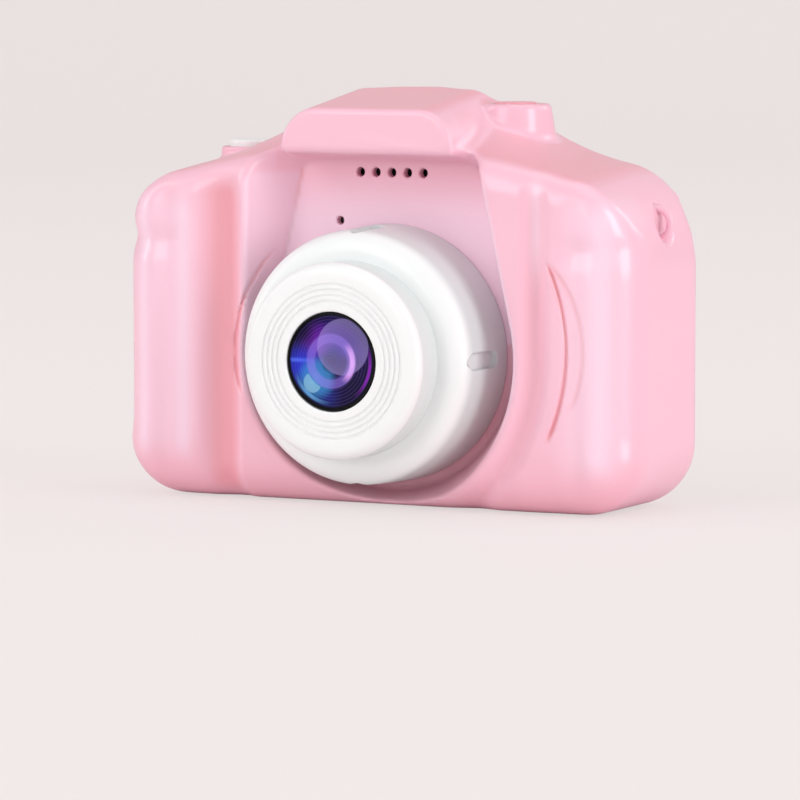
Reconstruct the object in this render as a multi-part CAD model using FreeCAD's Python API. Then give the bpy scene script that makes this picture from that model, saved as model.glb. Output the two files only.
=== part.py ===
"""Kids digital camera: pink moulded shell, fixed white lens, seven rear keys, shutter and power buttons.

Frame: millimetres, +Z up, the lens looks towards -Y, +X is on the right when the lens is faced.
The origin is on the flat bottom, at the middle of the width and of the body's depth.
"""
import FreeCAD
import Part
import math
import os

from FreeCAD import Vector

# ---- body outline, seen from the front ----
BODY_WIDTH = 84.0
BODY_DEPTH = 28.0
HUMP_HEIGHT = 60.5
HUMP_TOP_HALF_WIDTH = 10.5
HUMP_FOOT_HALF_WIDTH = 22.5
HUMP_FOOT_HEIGHT = 51.4
SHOULDER_CORNER_HEIGHT = 48.0
BOTTOM_CORNER_RADIUS = 9.5
SHOULDER_CORNER_RADIUS = 9.0
HUMP_FOOT_RADIUS = 9.0
HUMP_TOP_RADIUS = 6.0
FRONT_EDGE_RADIUS = 5.0
REAR_EDGE_RADIUS = 4.2
WALL = 1.8
REAR_COVER_DEPTH = 4.4
LIP_THICKNESS = 0.8
LIP_LENGTH = 1.5
LIP_CLEARANCE = 0.15

# ---- recessed centre panel, hood and hump front ----
PANEL_DEPTH = 8.5
PANEL_HALF_WIDTH_TOP = 14.5
PANEL_RING_MARGIN = 1.0
PANEL_WALL_SLOPE = 0.45
PANEL_TOP_HEIGHT = 51.2
HUMP_FRONT_SETBACK = 16.0
HUMP_SLOPE_START = 1.5  # how far in front of the panel the hump's sloped front begins
HOOD_HALF_WIDTH = 14.1
HOOD_TOP_HALF_WIDTH = 12.8
HOOD_TOP_HEIGHT = 57.8
HOOD_CORNER_RADIUS = 4.5
HOOD_EDGE_RADIUS = 0.6
HOOD_DEPTH = 15.0
HOOD_FOOT_RADIUS = 0.5
HOOD_HOLLOW_RADIUS = 1.0

# ---- lens ----
LENS_AXIS_HEIGHT = 22.0
LENS_BASE_RADIUS = 18.9
LENS_BASE_TAPER = 0.5
LENS_BASE_LENGTH = 13.2
LENS_BASE_WALL = 2.0
LENS_BASE_EDGE = 2.6
LENS_EDGE_SHARE = 0.8  # the most of the front land that the rounded edge may take
LENS_BARREL_RADIUS = 14.2
LENS_BARREL_LENGTH = 6.0
LENS_BARREL_EDGE = 1.4
LENS_BARREL_WALL = 1.7
LENS_SPIGOT_LENGTH = 5.0
LENS_NOTCH_WIDTH = 2.5
LENS_NOTCH_LENGTH = 9.5
LENS_NOTCH_DEPTH = 0.9
NOTCH_END_FLAT = 0.05
LENS_FIT = 0.1
WINDOW_RADIUS = 6.3
WINDOW_THICKNESS = 1.2
WINDOW_DOME = 0.4
BEZEL_WALL = 0.7
BEZEL_LENGTH = 4.6
BEZEL_SETBACK = 0.2
BEZEL_FLANGE_WIDTH = 1.6
BEZEL_FLANGE_THICKNESS = 0.8
WINDOW_SETBACK = 0.4
WINDOW_LEDGE = 0.7
SHADE_WALL = 0.8
SHADE_GAP = 0.1
SHADE_FOOT_WALL = 1.2
SHADE_FOOT_LENGTH = 2.5
SHADE_LIP_LENGTH = 0.4
SHADE_LIP_WIDTH = 0.9
GROOVE_RADII = (8.7, 9.5, 10.3, 11.1)
GROOVE_SIZE = 0.22
CELL_RADIUS = 3.4
CELL_LENGTH = 6.0
CELL_BORE_RADIUS = 1.9
ELEMENT_FIT = 0.05
ELEMENT_SETBACK = 0.3
ELEMENT_THICKNESS = 1.2
HOLDER_SIZE = 9.0
HOLDER_LENGTH = 5.4
HOLDER_FIT = 0.05
HOLDER_LEDGE = 0.6
CARRIER_THICKNESS = 1.6
CARRIER_BOSS_GAP = 0.3
SENSOR_BOARD_SIZE = 9.6
SENSOR_BOARD_THICKNESS = 0.8
SENSOR_FLEX_WIDTH = 7.0
FLEX_THICKNESS = 0.3
CABLE_HOLE_RADIUS = 8.0
LENS_SCREW_TO_RIM = 3.7
LENS_BOSS_RADIUS = 2.2
LENS_SCREW_COUNT = 3

# ---- screws ----
SHELL_SCREW_TO_SIDE_WALL = 5.2
SHELL_SCREW_TO_BOTTOM_WALL = 4.7
SHELL_SCREW_TO_SHOULDER_WALL = 4.22
SHELL_POST_RADIUS = 2.75
SCREW_TUBE_RADIUS = 3.1
SCREW_RADIUS = 0.95
SCREW_HOLE_RADIUS = 1.0
SCREW_PASS_RADIUS = 1.15
SCREW_HEAD_RADIUS = 1.8
SCREW_HEAD_HEIGHT = 1.3
SCREW_HEAD_EDGE = 0.4
SCREW_SLOT_FLOOR = 0.6
SCREW_SLOT_LENGTH = 1.8
SCREW_SLOT_WIDTH = 0.4
SCREW_RECESS_RADIUS = 2.2
SHELL_SCREW_LENGTH = 8.0
SMALL_SCREW_LENGTH = 4.5
SCREW_SEAT_THICKNESS = 2.0
SCREW_TIP_GAP = 0.8

# ---- main board ----
BOARD_THICKNESS = 1.2
BOARD_TO_REAR = 7.8
BOARD_SIDE_GAP = 1.7
BOARD_BOTTOM = 3.0
BOARD_TOP = 48.2
BOARD_POST_RADIUS = 1.9
BOARD_SCREW_TO_FRAME = 0.2
BOARD_NOTCH_GAP = 0.5
BOARD_SCREW_TO_TOP = 0.3
BOARD_CORNER_RADIUS = 3.0
BOARD_WALL_GAP = 0.6
CHIP_SIZE = 10.0
CHIP_HEIGHT = 1.0
PROCESSOR_Z = 30.0
MEMORY_Z = 26.0
MEMORY_CHIP_WIDTH = 5.2
MEMORY_CHIP_DEPTH = 4.0

# ---- switches, their plungers and the buttons over them ----
SWITCH_SIZE = 4.5
SWITCH_HEIGHT = 3.5
PLUNGER_CLEARANCE = 0.15
PLUNGER_LENGTH = 2.0
PLUNGER_INSIDE = 0.8
PLUNGER_STEM_RADIUS = 1.4
PLUNGER_BOTTOM_GAP = 0.3
BUTTON_TRAVEL = 0.6
KEY_TRAVEL = 0.5
BUTTON_CLEARANCE = 0.2
FLANGE_WIDTH = 0.6
FLANGE_THICKNESS = 0.8
FLANGE_CLEARANCE = 0.3
STOP_GAP = 0.2
BUTTON_SHAFT_RADIUS = 1.3
SHUTTER_X = -27.6
SHUTTER_RADIUS = 3.6
SHUTTER_PROUD = 1.0
SHUTTER_COLLAR_RADIUS = 4.9
SHUTTER_COLLAR_RISE = 0.9
SHUTTER_EDGE = 0.4
POWER_X = 16.0
POWER_RADIUS = 3.0
POWER_PROUD = 0.2
POWER_EDGE = 0.2
DIAL_BOSS_RADIUS = 6.5
DIAL_BOSS_TOP_RADIUS = 5.0
DIAL_BOSS_TOP = 58.4
DIAL_BOSS_FOOT = 49.5
DIAL_BOSS_EDGE = 0.6

# ---- rear keys ----
KEYPAD_X = -27.5
KEYPAD_Z = 24.0
KEY_PROUD = 0.6
KEY_EDGE = 0.35
OK_KEY_RADIUS = 3.6
ARROW_INNER_RADIUS = 5.4
ARROW_OUTER_RADIUS = 10.2
ARROW_GAP = 2.0
ARROW_SWITCH_RADIUS = 7.8
ROUND_KEY_RADIUS = 3.0
MODE_KEY_Z = 40.0
PLAYBACK_KEY_Z = 8.2

# ---- screen ----
SCREEN_TO_SCREW_TUBE = 0.0
SCREEN_Z = 25.0
WINDOW_WIDTH = 47.0
WINDOW_HEIGHT = 36.0
WINDOW_CORNER_RADIUS = 3.0
WINDOW_PANE = 1.0
WINDOW_GAP = 0.1
ADHESIVE_THICKNESS = 0.15
ADHESIVE_WIDTH = 1.6
VIEW_WIDTH = 42.0
VIEW_HEIGHT = 31.5
VIEW_CORNER_RADIUS = 1.0
LCD_WIDTH = 45.8
LCD_HEIGHT = 34.0
LCD_THICKNESS = 2.4
LCD_GAP = 0.2
FRAME_WALL = 1.6
FRAME_SHELF = 0.8
FRAME_CLEARANCE = 0.3
LCD_TO_SHELL = 0.3
LCD_FLEX_WIDTH = 12.0
LCD_FLEX_RUN = 8.0
LCD_FLEX_GAP = 0.01
LCD_FLEX_RISE = 3.5

# ---- sockets in the bottom wall ----
USB_TO_BOARD_SCREW = 8.5
USB_WIDTH = 7.6
USB_HEIGHT = 2.7
USB_LENGTH = 5.0
USB_CORNER_RADIUS = 0.6
USB_TONGUE_INSET = 1.8
USB_TONGUE_THICKNESS = 0.6
CARD_TO_BATTERY = 0.2
CARD_WIDTH = 13.8
CARD_HEIGHT = 1.6
CARD_LENGTH = 15.0
CARD_SLOT_WIDTH = 11.4
CARD_SLOT_HEIGHT = 0.9
SOCKET_WALL = 0.3
SOCKET_MOUTH_Z = 0.9
SOCKET_CLEARANCE = 0.25
RESET_TO_USB = 7.5
RESET_WIDTH = 3.0
RESET_HOLE_RADIUS = 0.8

# ---- battery, speaker, microphone ----
BATTERY_TO_POST = 0.2
BATTERY_Z = 25.5
BATTERY_WIDTH = 19.6
BATTERY_HEIGHT = 28.0
BATTERY_THICKNESS = 7.0
BATTERY_EDGE = 1.5
PAD_THICKNESS = 0.8
LEAD_RADIUS = 0.5
LEAD_SPACING = 2.4
LEAD_BEND = 1.6
BATTERY_LEAD_OFFSET = -3.0
SPEAKER_X = 0.0
SPEAKER_Z = 47.3
SPEAKER_RADIUS = 7.2
SPEAKER_THICKNESS = 3.6
SPEAKER_RIM_THICKNESS = 1.6
SPEAKER_MAGNET_RADIUS = 4.464
SPEAKER_LEAD_DEPTH = 2.2
SPEAKER_LEAD_RUN = 1.5
SPEAKER_LEAD_DROP = 4.5
GASKET_THICKNESS = 0.5
GASKET_WIDTH = 0.9
SPEAKER_HOLE_COUNT = 5
SPEAKER_HOLE_PITCH = 2.57
SPEAKER_HOLE_RADIUS = 0.65
SPEAKER_HOLE_Z = 48.3
MIC_X = -8.5
MIC_Z = 41.1
MIC_RADIUS = 2.4
MIC_THICKNESS = 2.2
MIC_FRONT_GAP = 0.2
MIC_LEAD_RADIUS = 0.35
MIC_HOLE_RADIUS = 0.6
MIC_BOOT_WALL = 0.6
MIC_LEAD_SPACING = 2.0

# ---- strap bar on the right side ----
STRAP_Z = 41.5
STRAP_Y = 0.6
STRAP_RING_RADIUS = 2.3
STRAP_BAR_RADIUS = 0.6
STRAP_REACH = 0.4

# ---- planes worked out from the sizes above ----
HALF_WIDTH = BODY_WIDTH / 2
FRONT_Y = -BODY_DEPTH / 2
REAR_Y = BODY_DEPTH / 2
SEAM_Y = REAR_Y - REAR_COVER_DEPTH
REAR_INNER_Y = REAR_Y - WALL
PANEL_Y = FRONT_Y + PANEL_DEPTH
PANEL_INNER_Y = PANEL_Y + WALL
BOARD_REAR_Y = REAR_Y - BOARD_TO_REAR
BOARD_FRONT_Y = BOARD_REAR_Y - BOARD_THICKNESS
BUTTON_Y = BOARD_FRONT_Y - SWITCH_HEIGHT / 2
SHELL_POST_END_Y = SEAM_Y - 1.0
SHELL_SCREW_INSET = WALL + SHELL_SCREW_TO_SIDE_WALL
SHELL_SCREW_X = HALF_WIDTH - SHELL_SCREW_INSET
SHELL_SCREW_LOW_Z = WALL + SHELL_SCREW_TO_BOTTOM_WALL
LENS_BASE_FRONT_Y = PANEL_Y - LENS_BASE_LENGTH
LENS_BASE_FRONT_RADIUS = LENS_BASE_RADIUS - LENS_BASE_TAPER
LENS_SCREW_CIRCLE = LENS_BASE_RADIUS - LENS_SCREW_TO_RIM
LENS_FRONT_Y = LENS_BASE_FRONT_Y - LENS_BARREL_LENGTH
SPIGOT_RADIUS = LENS_BARREL_RADIUS - LENS_BARREL_WALL
SPIGOT_END_Y = LENS_BASE_FRONT_Y + LENS_SPIGOT_LENGTH
BEZEL_RADIUS = WINDOW_RADIUS + LENS_FIT + BEZEL_WALL
BEZEL_REAR_Y = LENS_FRONT_Y + BEZEL_SETBACK + BEZEL_LENGTH
WINDOW_REAR_Y = LENS_FRONT_Y + WINDOW_SETBACK + WINDOW_THICKNESS
CELL_FRONT_Y = LENS_BASE_FRONT_Y - 0.3
CELL_REAR_Y = CELL_FRONT_Y + CELL_LENGTH
HOLDER_FRONT_Y = CELL_REAR_Y - 2.0
HOLDER_REAR_Y = HOLDER_FRONT_Y + HOLDER_LENGTH
SENSOR_BOARD_REAR_Y = HOLDER_REAR_Y + SENSOR_BOARD_THICKNESS
LCD_REAR_Y = REAR_INNER_Y - LCD_TO_SHELL
LCD_FRONT_Y = LCD_REAR_Y - LCD_THICKNESS
WINDOW_SEAT_Y = REAR_Y - WINDOW_PANE - ADHESIVE_THICKNESS
SHOULDER_SLOPE = (HUMP_FOOT_HEIGHT - SHOULDER_CORNER_HEIGHT) / (HALF_WIDTH - HUMP_FOOT_HALF_WIDTH)
SHELL_SCREW_SHOULDER = SHOULDER_CORNER_HEIGHT + SHELL_SCREW_INSET * SHOULDER_SLOPE
SHELL_SCREW_HIGH_Z = SHELL_SCREW_SHOULDER - WALL - SHELL_SCREW_TO_SHOULDER_WALL
BOARD_SCREW_INSET = WALL + BOARD_SIDE_GAP + SCREW_HEAD_RADIUS
SCREEN_X = SHELL_SCREW_X - SCREW_TUBE_RADIUS - SCREEN_TO_SCREW_TUBE - LCD_WIDTH / 2
SCREEN_SIDE = LCD_WIDTH / 2 + LCD_GAP + FRAME_WALL
BOARD_SCREW_LEFT_X = SCREEN_X - SCREEN_SIDE - SCREW_HEAD_RADIUS - BOARD_SCREW_TO_FRAME
USB_X = BOARD_SCREW_LEFT_X + USB_TO_BOARD_SCREW
RESET_X = USB_X + RESET_TO_USB
BATTERY_RIGHT = HALF_WIDTH - BOARD_SCREW_INSET - BOARD_POST_RADIUS - BATTERY_TO_POST
BATTERY_X = BATTERY_RIGHT - BATTERY_WIDTH / 2
CARD_X = BATTERY_RIGHT - BATTERY_WIDTH - CARD_TO_BATTERY - CARD_WIDTH / 2
SPEAKER_FRONT_Y = PANEL_INNER_Y + GASKET_THICKNESS
SPEAKER_REAR_Y = SPEAKER_FRONT_Y + SPEAKER_THICKNESS
MIC_REAR_Y = PANEL_INNER_Y + MIC_FRONT_GAP + MIC_THICKNESS
PAST = 1.0  # how far a cut runs past the face it opens


# ======== basic solids ========
def block(x_range, y_range, z_range):
    """A box between two values on each axis."""
    size = [high - low for low, high in (x_range, y_range, z_range)]
    return Part.makeBox(size[0], size[1], size[2], Vector(x_range[0], y_range[0], z_range[0]))


def centred(middle, width):
    """The two ends of a span of the given width."""
    return (middle - width / 2, middle + width / 2)


def rod_y(radius, x, z, y_range):
    """A cylinder along Y."""
    return Part.makeCylinder(radius, y_range[1] - y_range[0], Vector(x, y_range[0], z), Vector(0, 1, 0))


def rod_z(radius, x, y, z_range):
    """A cylinder along Z."""
    return Part.makeCylinder(radius, z_range[1] - z_range[0], Vector(x, y, z_range[0]), Vector(0, 0, 1))


def tube_y(outer, inner, x, z, y_range):
    """A plain ring along Y."""
    return rod_y(outer, x, z, y_range).cut(rod_y(inner, x, z, y_range))


def turned(profile):
    """A solid turned about the lens axis from (radius, y) points."""
    points = [Vector(radius, y, 0) for radius, y in profile]
    face = Part.Face(Part.makePolygon(points + points[:1]))
    solid = face.revolve(Vector(0, 0, 0), Vector(0, 1, 0), 360)
    solid.translate(Vector(0, 0, LENS_AXIS_HEIGHT))
    return solid


def round_edges(solid, radius, wanted):
    """Rounds every edge that the test picks."""
    edges = [edge for edge in solid.Edges if wanted(edge)]
    return solid.makeFillet(radius, edges)


def lies_at_y(edge, y):
    """True for an edge that lies wholly in the plane at y."""
    box = edge.BoundBox
    return abs(box.YMin - y) < 1e-4 and abs(box.YMax - y) < 1e-4


# ======== outlines made of straight runs and arcs ========
def inset_corners(corners, distance):
    """The same anticlockwise outline moved inwards, as (x, z, radius) corners."""
    count = len(corners)
    moved = []
    for index, (x, z, radius) in enumerate(corners):
        x0, z0, _ = corners[index - 1]
        x2, z2, _ = corners[(index + 1) % count]
        before = Vector(x - x0, z - z0, 0).normalize()
        after = Vector(x2 - x, z2 - z, 0).normalize()
        turn = before.cross(after).z
        half = Vector(-before.y - after.y, before.x + after.x, 0)
        step = half * (2 * distance / half.dot(half))
        new_radius = radius - distance if turn > 0 else radius + distance
        moved.append((x + step.x, z + step.y, max(new_radius, 0.4)))
    return moved


def rounded_face(corners, y):
    """A flat face at y, bounded by straight runs with an arc at each corner."""
    count = len(corners)
    arcs = []
    for index, (x, z, radius) in enumerate(corners):
        x0, z0, _ = corners[index - 1]
        x2, z2, _ = corners[(index + 1) % count]
        back = Vector(x0 - x, 0, z0 - z).normalize()
        ahead = Vector(x2 - x, 0, z2 - z).normalize()
        half_angle = back.getAngle(ahead) / 2
        corner = Vector(x, y, z)
        reach = radius / math.tan(half_angle)
        middle = (back + ahead).normalize()
        to_arc = radius / math.sin(half_angle) - radius
        arcs.append((corner + back * reach, corner + middle * to_arc, corner + ahead * reach))
    edges = []
    for index, (start, middle, end) in enumerate(arcs):
        edges.append(Part.Arc(start, middle, end).toShape())
        edges.append(Part.LineSegment(end, arcs[(index + 1) % count][0]).toShape())
    return Part.Face(Part.Wire(edges))


def rounded_prism(corners, y_range):
    """An outline carried along Y."""
    return rounded_face(corners, y_range[0]).extrude(Vector(0, y_range[1] - y_range[0], 0))


def mirrored(right_half):
    """A closed anticlockwise outline from its right half, bottom to top."""
    left_half = [(-x, z, radius) for x, z, radius in reversed(right_half)]
    return right_half + left_half


def rounded_rectangle(x, z, width, height, radius):
    """Corners of an upright rectangle."""
    return mirrored_about(x, [(width / 2, z - height / 2, radius), (width / 2, z + height / 2, radius)])


def mirrored_about(x, right_half):
    """A closed outline symmetric about a given x."""
    return [(x + dx, z, radius) for dx, z, radius in mirrored(right_half)]


def body_outline():
    """The camera's outline: flat bottom, upright sides, sloping shoulders and the hump."""
    return mirrored([
        (HALF_WIDTH, 0.0, BOTTOM_CORNER_RADIUS),
        (HALF_WIDTH, SHOULDER_CORNER_HEIGHT, SHOULDER_CORNER_RADIUS),
        (HUMP_FOOT_HALF_WIDTH, HUMP_FOOT_HEIGHT, HUMP_FOOT_RADIUS),
        (HUMP_TOP_HALF_WIDTH, HUMP_HEIGHT, HUMP_TOP_RADIUS),
    ])


def shoulder_height(x):
    """Height of the sloping shoulder at x."""
    return HUMP_FOOT_HEIGHT - (abs(x) - HUMP_FOOT_HALF_WIDTH) * SHOULDER_SLOPE


# ======== front shell ========
def front_relief(depth):
    """What is taken from the front: the channel behind the lens and the set-back hump front.

    A depth above zero gives the same form moved that far into the body, for the cavity behind it.
    """
    floor_y = PANEL_Y + depth
    near_y = FRONT_Y - PAST
    spread = floor_y - near_y
    flare = spread * PANEL_WALL_SLOPE
    top = PANEL_TOP_HEIGHT + depth
    ring_radius = LENS_BASE_RADIUS + PANEL_RING_MARGIN
    faces = []
    for y, grow in ((floor_y, depth), (near_y, depth + flare)):
        faces.append(Part.makePolygon([
            Vector(-PANEL_HALF_WIDTH_TOP - grow, y, top),
            Vector(PANEL_HALF_WIDTH_TOP + grow, y, top),
            Vector(ring_radius + grow, y, LENS_AXIS_HEIGHT),
            Vector(-ring_radius - grow, y, LENS_AXIS_HEIGHT),
            Vector(-PANEL_HALF_WIDTH_TOP - grow, y, top),
        ]))
    channel = Part.makeLoft(faces, True, True)
    bowl = Part.makeCone(
        ring_radius + depth + flare, ring_radius + depth, spread,
        Vector(0, near_y, LENS_AXIS_HEIGHT), Vector(0, 1, 0))
    low_y = floor_y - HUMP_SLOPE_START
    high_y = FRONT_Y + HUMP_FRONT_SETBACK + depth
    wedge_face = Part.Face(Part.makePolygon([
        Vector(-HALF_WIDTH, near_y, top),
        Vector(-HALF_WIDTH, low_y, top),
        Vector(-HALF_WIDTH, high_y, HUMP_HEIGHT + PAST),
        Vector(-HALF_WIDTH, near_y, HUMP_HEIGHT + PAST),
        Vector(-HALF_WIDTH, near_y, top),
    ]))
    wedge = wedge_face.extrude(Vector(BODY_WIDTH, 0, 0))
    return channel.fuse(bowl).fuse(wedge)


def hood():
    """The block over the panel that stands out in front of the hump."""
    corners = mirrored([
        (HOOD_HALF_WIDTH, PANEL_TOP_HEIGHT, HOOD_FOOT_RADIUS),
        (HOOD_TOP_HALF_WIDTH, HOOD_TOP_HEIGHT, HOOD_CORNER_RADIUS),
    ])
    solid = rounded_prism(corners, (FRONT_Y, FRONT_Y + HOOD_DEPTH))
    return round_edges(solid, HOOD_EDGE_RADIUS, lambda edge: lies_at_y(edge, FRONT_Y))


def hood_hollow():
    """The hollow inside the hood, open to the rear."""
    corners = mirrored([
        (HOOD_HALF_WIDTH - 2 * WALL, PANEL_TOP_HEIGHT + WALL, HOOD_FOOT_RADIUS),
        (HOOD_TOP_HALF_WIDTH - 2 * WALL, HOOD_TOP_HEIGHT - WALL, HOOD_HOLLOW_RADIUS),
    ])
    return rounded_prism(corners, (FRONT_Y + WALL, FRONT_Y + HOOD_DEPTH + PAST))


def shell_screw_places():
    """(x, z) of the screws that hold the two halves together."""
    return [(side * SHELL_SCREW_X, z) for side in (-1, 1) for z in (SHELL_SCREW_LOW_Z, SHELL_SCREW_HIGH_Z)]


def board_screw_places():
    """(x, z) of the screws that hold the main board."""
    left = BOARD_SCREW_LEFT_X
    right = HALF_WIDTH - BOARD_SCREW_INSET
    high_z = BOARD_TOP - SCREW_HEAD_RADIUS - BOARD_SCREW_TO_TOP
    low_z = BOARD_BOTTOM + SCREW_HEAD_RADIUS
    return [(left, high_z), (left, low_z), (right, BATTERY_Z)]


def lens_screw_places():
    """(x, z) of the screws that hold the lens from behind."""
    places = []
    for index in range(LENS_SCREW_COUNT):
        angle = math.radians(90 + 360 * index / LENS_SCREW_COUNT)
        places.append((LENS_SCREW_CIRCLE * math.cos(angle),
                       LENS_AXIS_HEIGHT + LENS_SCREW_CIRCLE * math.sin(angle)))
    return places


def strap_bar():
    """The half ring on the right side that a wrist strap is tied to."""
    middle = Vector(HALF_WIDTH - STRAP_RING_RADIUS - STRAP_BAR_RADIUS + STRAP_REACH, STRAP_Y, STRAP_Z)
    ring = Part.makeTorus(STRAP_RING_RADIUS, STRAP_BAR_RADIUS, middle, Vector(0, 1, 0))
    around = 2 * (STRAP_RING_RADIUS + STRAP_BAR_RADIUS + PAST)
    keep = block((HALF_WIDTH - WALL, HALF_WIDTH + PAST), centred(STRAP_Y, around), centred(STRAP_Z, around))
    return ring.common(keep)


def dial_boss():
    """The tapered round boss behind the hump that carries the power button."""
    height = DIAL_BOSS_TOP - DIAL_BOSS_FOOT
    foot = Vector(POWER_X, BUTTON_Y, DIAL_BOSS_FOOT)
    cone = Part.makeCone(DIAL_BOSS_RADIUS, DIAL_BOSS_TOP_RADIUS, height, foot)
    return round_edges(cone, DIAL_BOSS_EDGE, lambda edge: abs(edge.BoundBox.ZMin - DIAL_BOSS_TOP) < 1e-4)


def shutter_collar():
    """The short collar around the shutter button."""
    z = shoulder_height(SHUTTER_X)
    return rod_z(SHUTTER_COLLAR_RADIUS, SHUTTER_X, BUTTON_Y, (z - 2 * WALL, z + SHUTTER_COLLAR_RISE))


def button_bores():
    """The openings that the shutter and the power button move in."""
    z = shoulder_height(SHUTTER_X)
    flange_top = shutter_flange_top()
    shutter = rod_z(SHUTTER_RADIUS + BUTTON_CLEARANCE, SHUTTER_X, BUTTON_Y, (flange_top, z + 5))
    under = rod_z(SHUTTER_RADIUS + FLANGE_WIDTH + FLANGE_CLEARANCE, SHUTTER_X, BUTTON_Y,
                  (z - 3 * WALL, flange_top + STOP_GAP))
    power = rod_z(POWER_RADIUS + BUTTON_CLEARANCE, POWER_X, BUTTON_Y, (DIAL_BOSS_FOOT, DIAL_BOSS_TOP + PAST))
    well = rod_z(POWER_RADIUS + FLANGE_WIDTH + FLANGE_CLEARANCE, POWER_X, BUTTON_Y,
                 (DIAL_BOSS_FOOT - PAST, DIAL_BOSS_TOP - WALL))
    return [shutter, under, power, well]


def sound_holes():
    """The row of speaker holes under the hood and the single microphone hole."""
    y_range = (FRONT_Y, PANEL_INNER_Y + PAST)
    middle = (SPEAKER_HOLE_COUNT - 1) / 2
    holes = []
    for index in range(SPEAKER_HOLE_COUNT):
        x = (index - middle) * SPEAKER_HOLE_PITCH
        holes.append(rod_y(SPEAKER_HOLE_RADIUS, x, SPEAKER_HOLE_Z, y_range))
    holes.append(rod_y(MIC_HOLE_RADIUS, MIC_X, MIC_Z, y_range))
    return holes


def socket_openings():
    """The openings in the bottom wall for the charging socket, the card and the reset pin."""
    z_range = (-PAST, WALL + PAST)
    usb_y = BOARD_FRONT_Y - USB_HEIGHT / 2
    card_y = BOARD_FRONT_Y - CARD_HEIGHT / 2
    gap = 2 * SOCKET_CLEARANCE
    return [
        block(centred(USB_X, USB_WIDTH + gap), centred(usb_y, USB_HEIGHT + gap), z_range),
        block(centred(CARD_X, CARD_WIDTH + gap), centred(card_y, CARD_HEIGHT + gap), z_range),
        rod_z(RESET_HOLE_RADIUS, RESET_X, BUTTON_Y, z_range),
    ]


def inner_posts():
    """The posts that the rear shell and the main board are screwed to, from the front wall's middle."""
    root_y = FRONT_Y + WALL / 2
    posts = [rod_y(SHELL_POST_RADIUS, x, z, (root_y, SHELL_POST_END_Y)) for x, z in shell_screw_places()]
    posts += [rod_y(BOARD_POST_RADIUS, x, z, (root_y, BOARD_FRONT_Y)) for x, z in board_screw_places()]
    relief = front_relief(WALL / 2)
    return [post.cut(relief) for post in posts]


def front_shell():
    """The deep front half: hood, recessed panel, button seats and all posts."""
    outline = body_outline()
    outer = rounded_prism(outline, (FRONT_Y, SEAM_Y))
    outer = round_edges(outer, FRONT_EDGE_RADIUS, lambda edge: lies_at_y(edge, FRONT_Y))
    inner = rounded_prism(inset_corners(outline, WALL), (FRONT_Y + WALL, SEAM_Y + PAST))
    inner = round_edges(inner, FRONT_EDGE_RADIUS - WALL, lambda edge: lies_at_y(edge, FRONT_Y + WALL))
    outer = outer.cut(front_relief(0)).fuse([hood(), dial_boss(), shutter_collar(), strap_bar()])
    inner = inner.cut(front_relief(WALL)).fuse(hood_hollow())
    shell = outer.cut(inner)
    shell = shell.fuse(inner_posts())
    cuts = [rod_y(SCREW_HOLE_RADIUS, x, z, (SHELL_POST_END_Y - SHELL_SCREW_LENGTH - SCREW_TIP_GAP,
                                            SHELL_POST_END_Y + PAST)) for x, z in shell_screw_places()]
    cuts += [rod_y(SCREW_HOLE_RADIUS, x, z, (BOARD_FRONT_Y - SMALL_SCREW_LENGTH, BOARD_FRONT_Y + PAST))
             for x, z in board_screw_places()]
    through_panel = (PANEL_Y - PAST, PANEL_INNER_Y + PAST)
    cuts += [rod_y(SCREW_PASS_RADIUS, x, z, through_panel) for x, z in lens_screw_places()]
    cuts.append(rod_y(CABLE_HOLE_RADIUS, 0, LENS_AXIS_HEIGHT, through_panel))
    cuts += button_bores() + sound_holes() + socket_openings()
    return shell.cut(cuts)


# ======== rear shell ========
def screw_seat_y():
    """The face that a shell screw's head rests on."""
    return SHELL_POST_END_Y + SCREW_SEAT_THICKNESS


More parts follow.
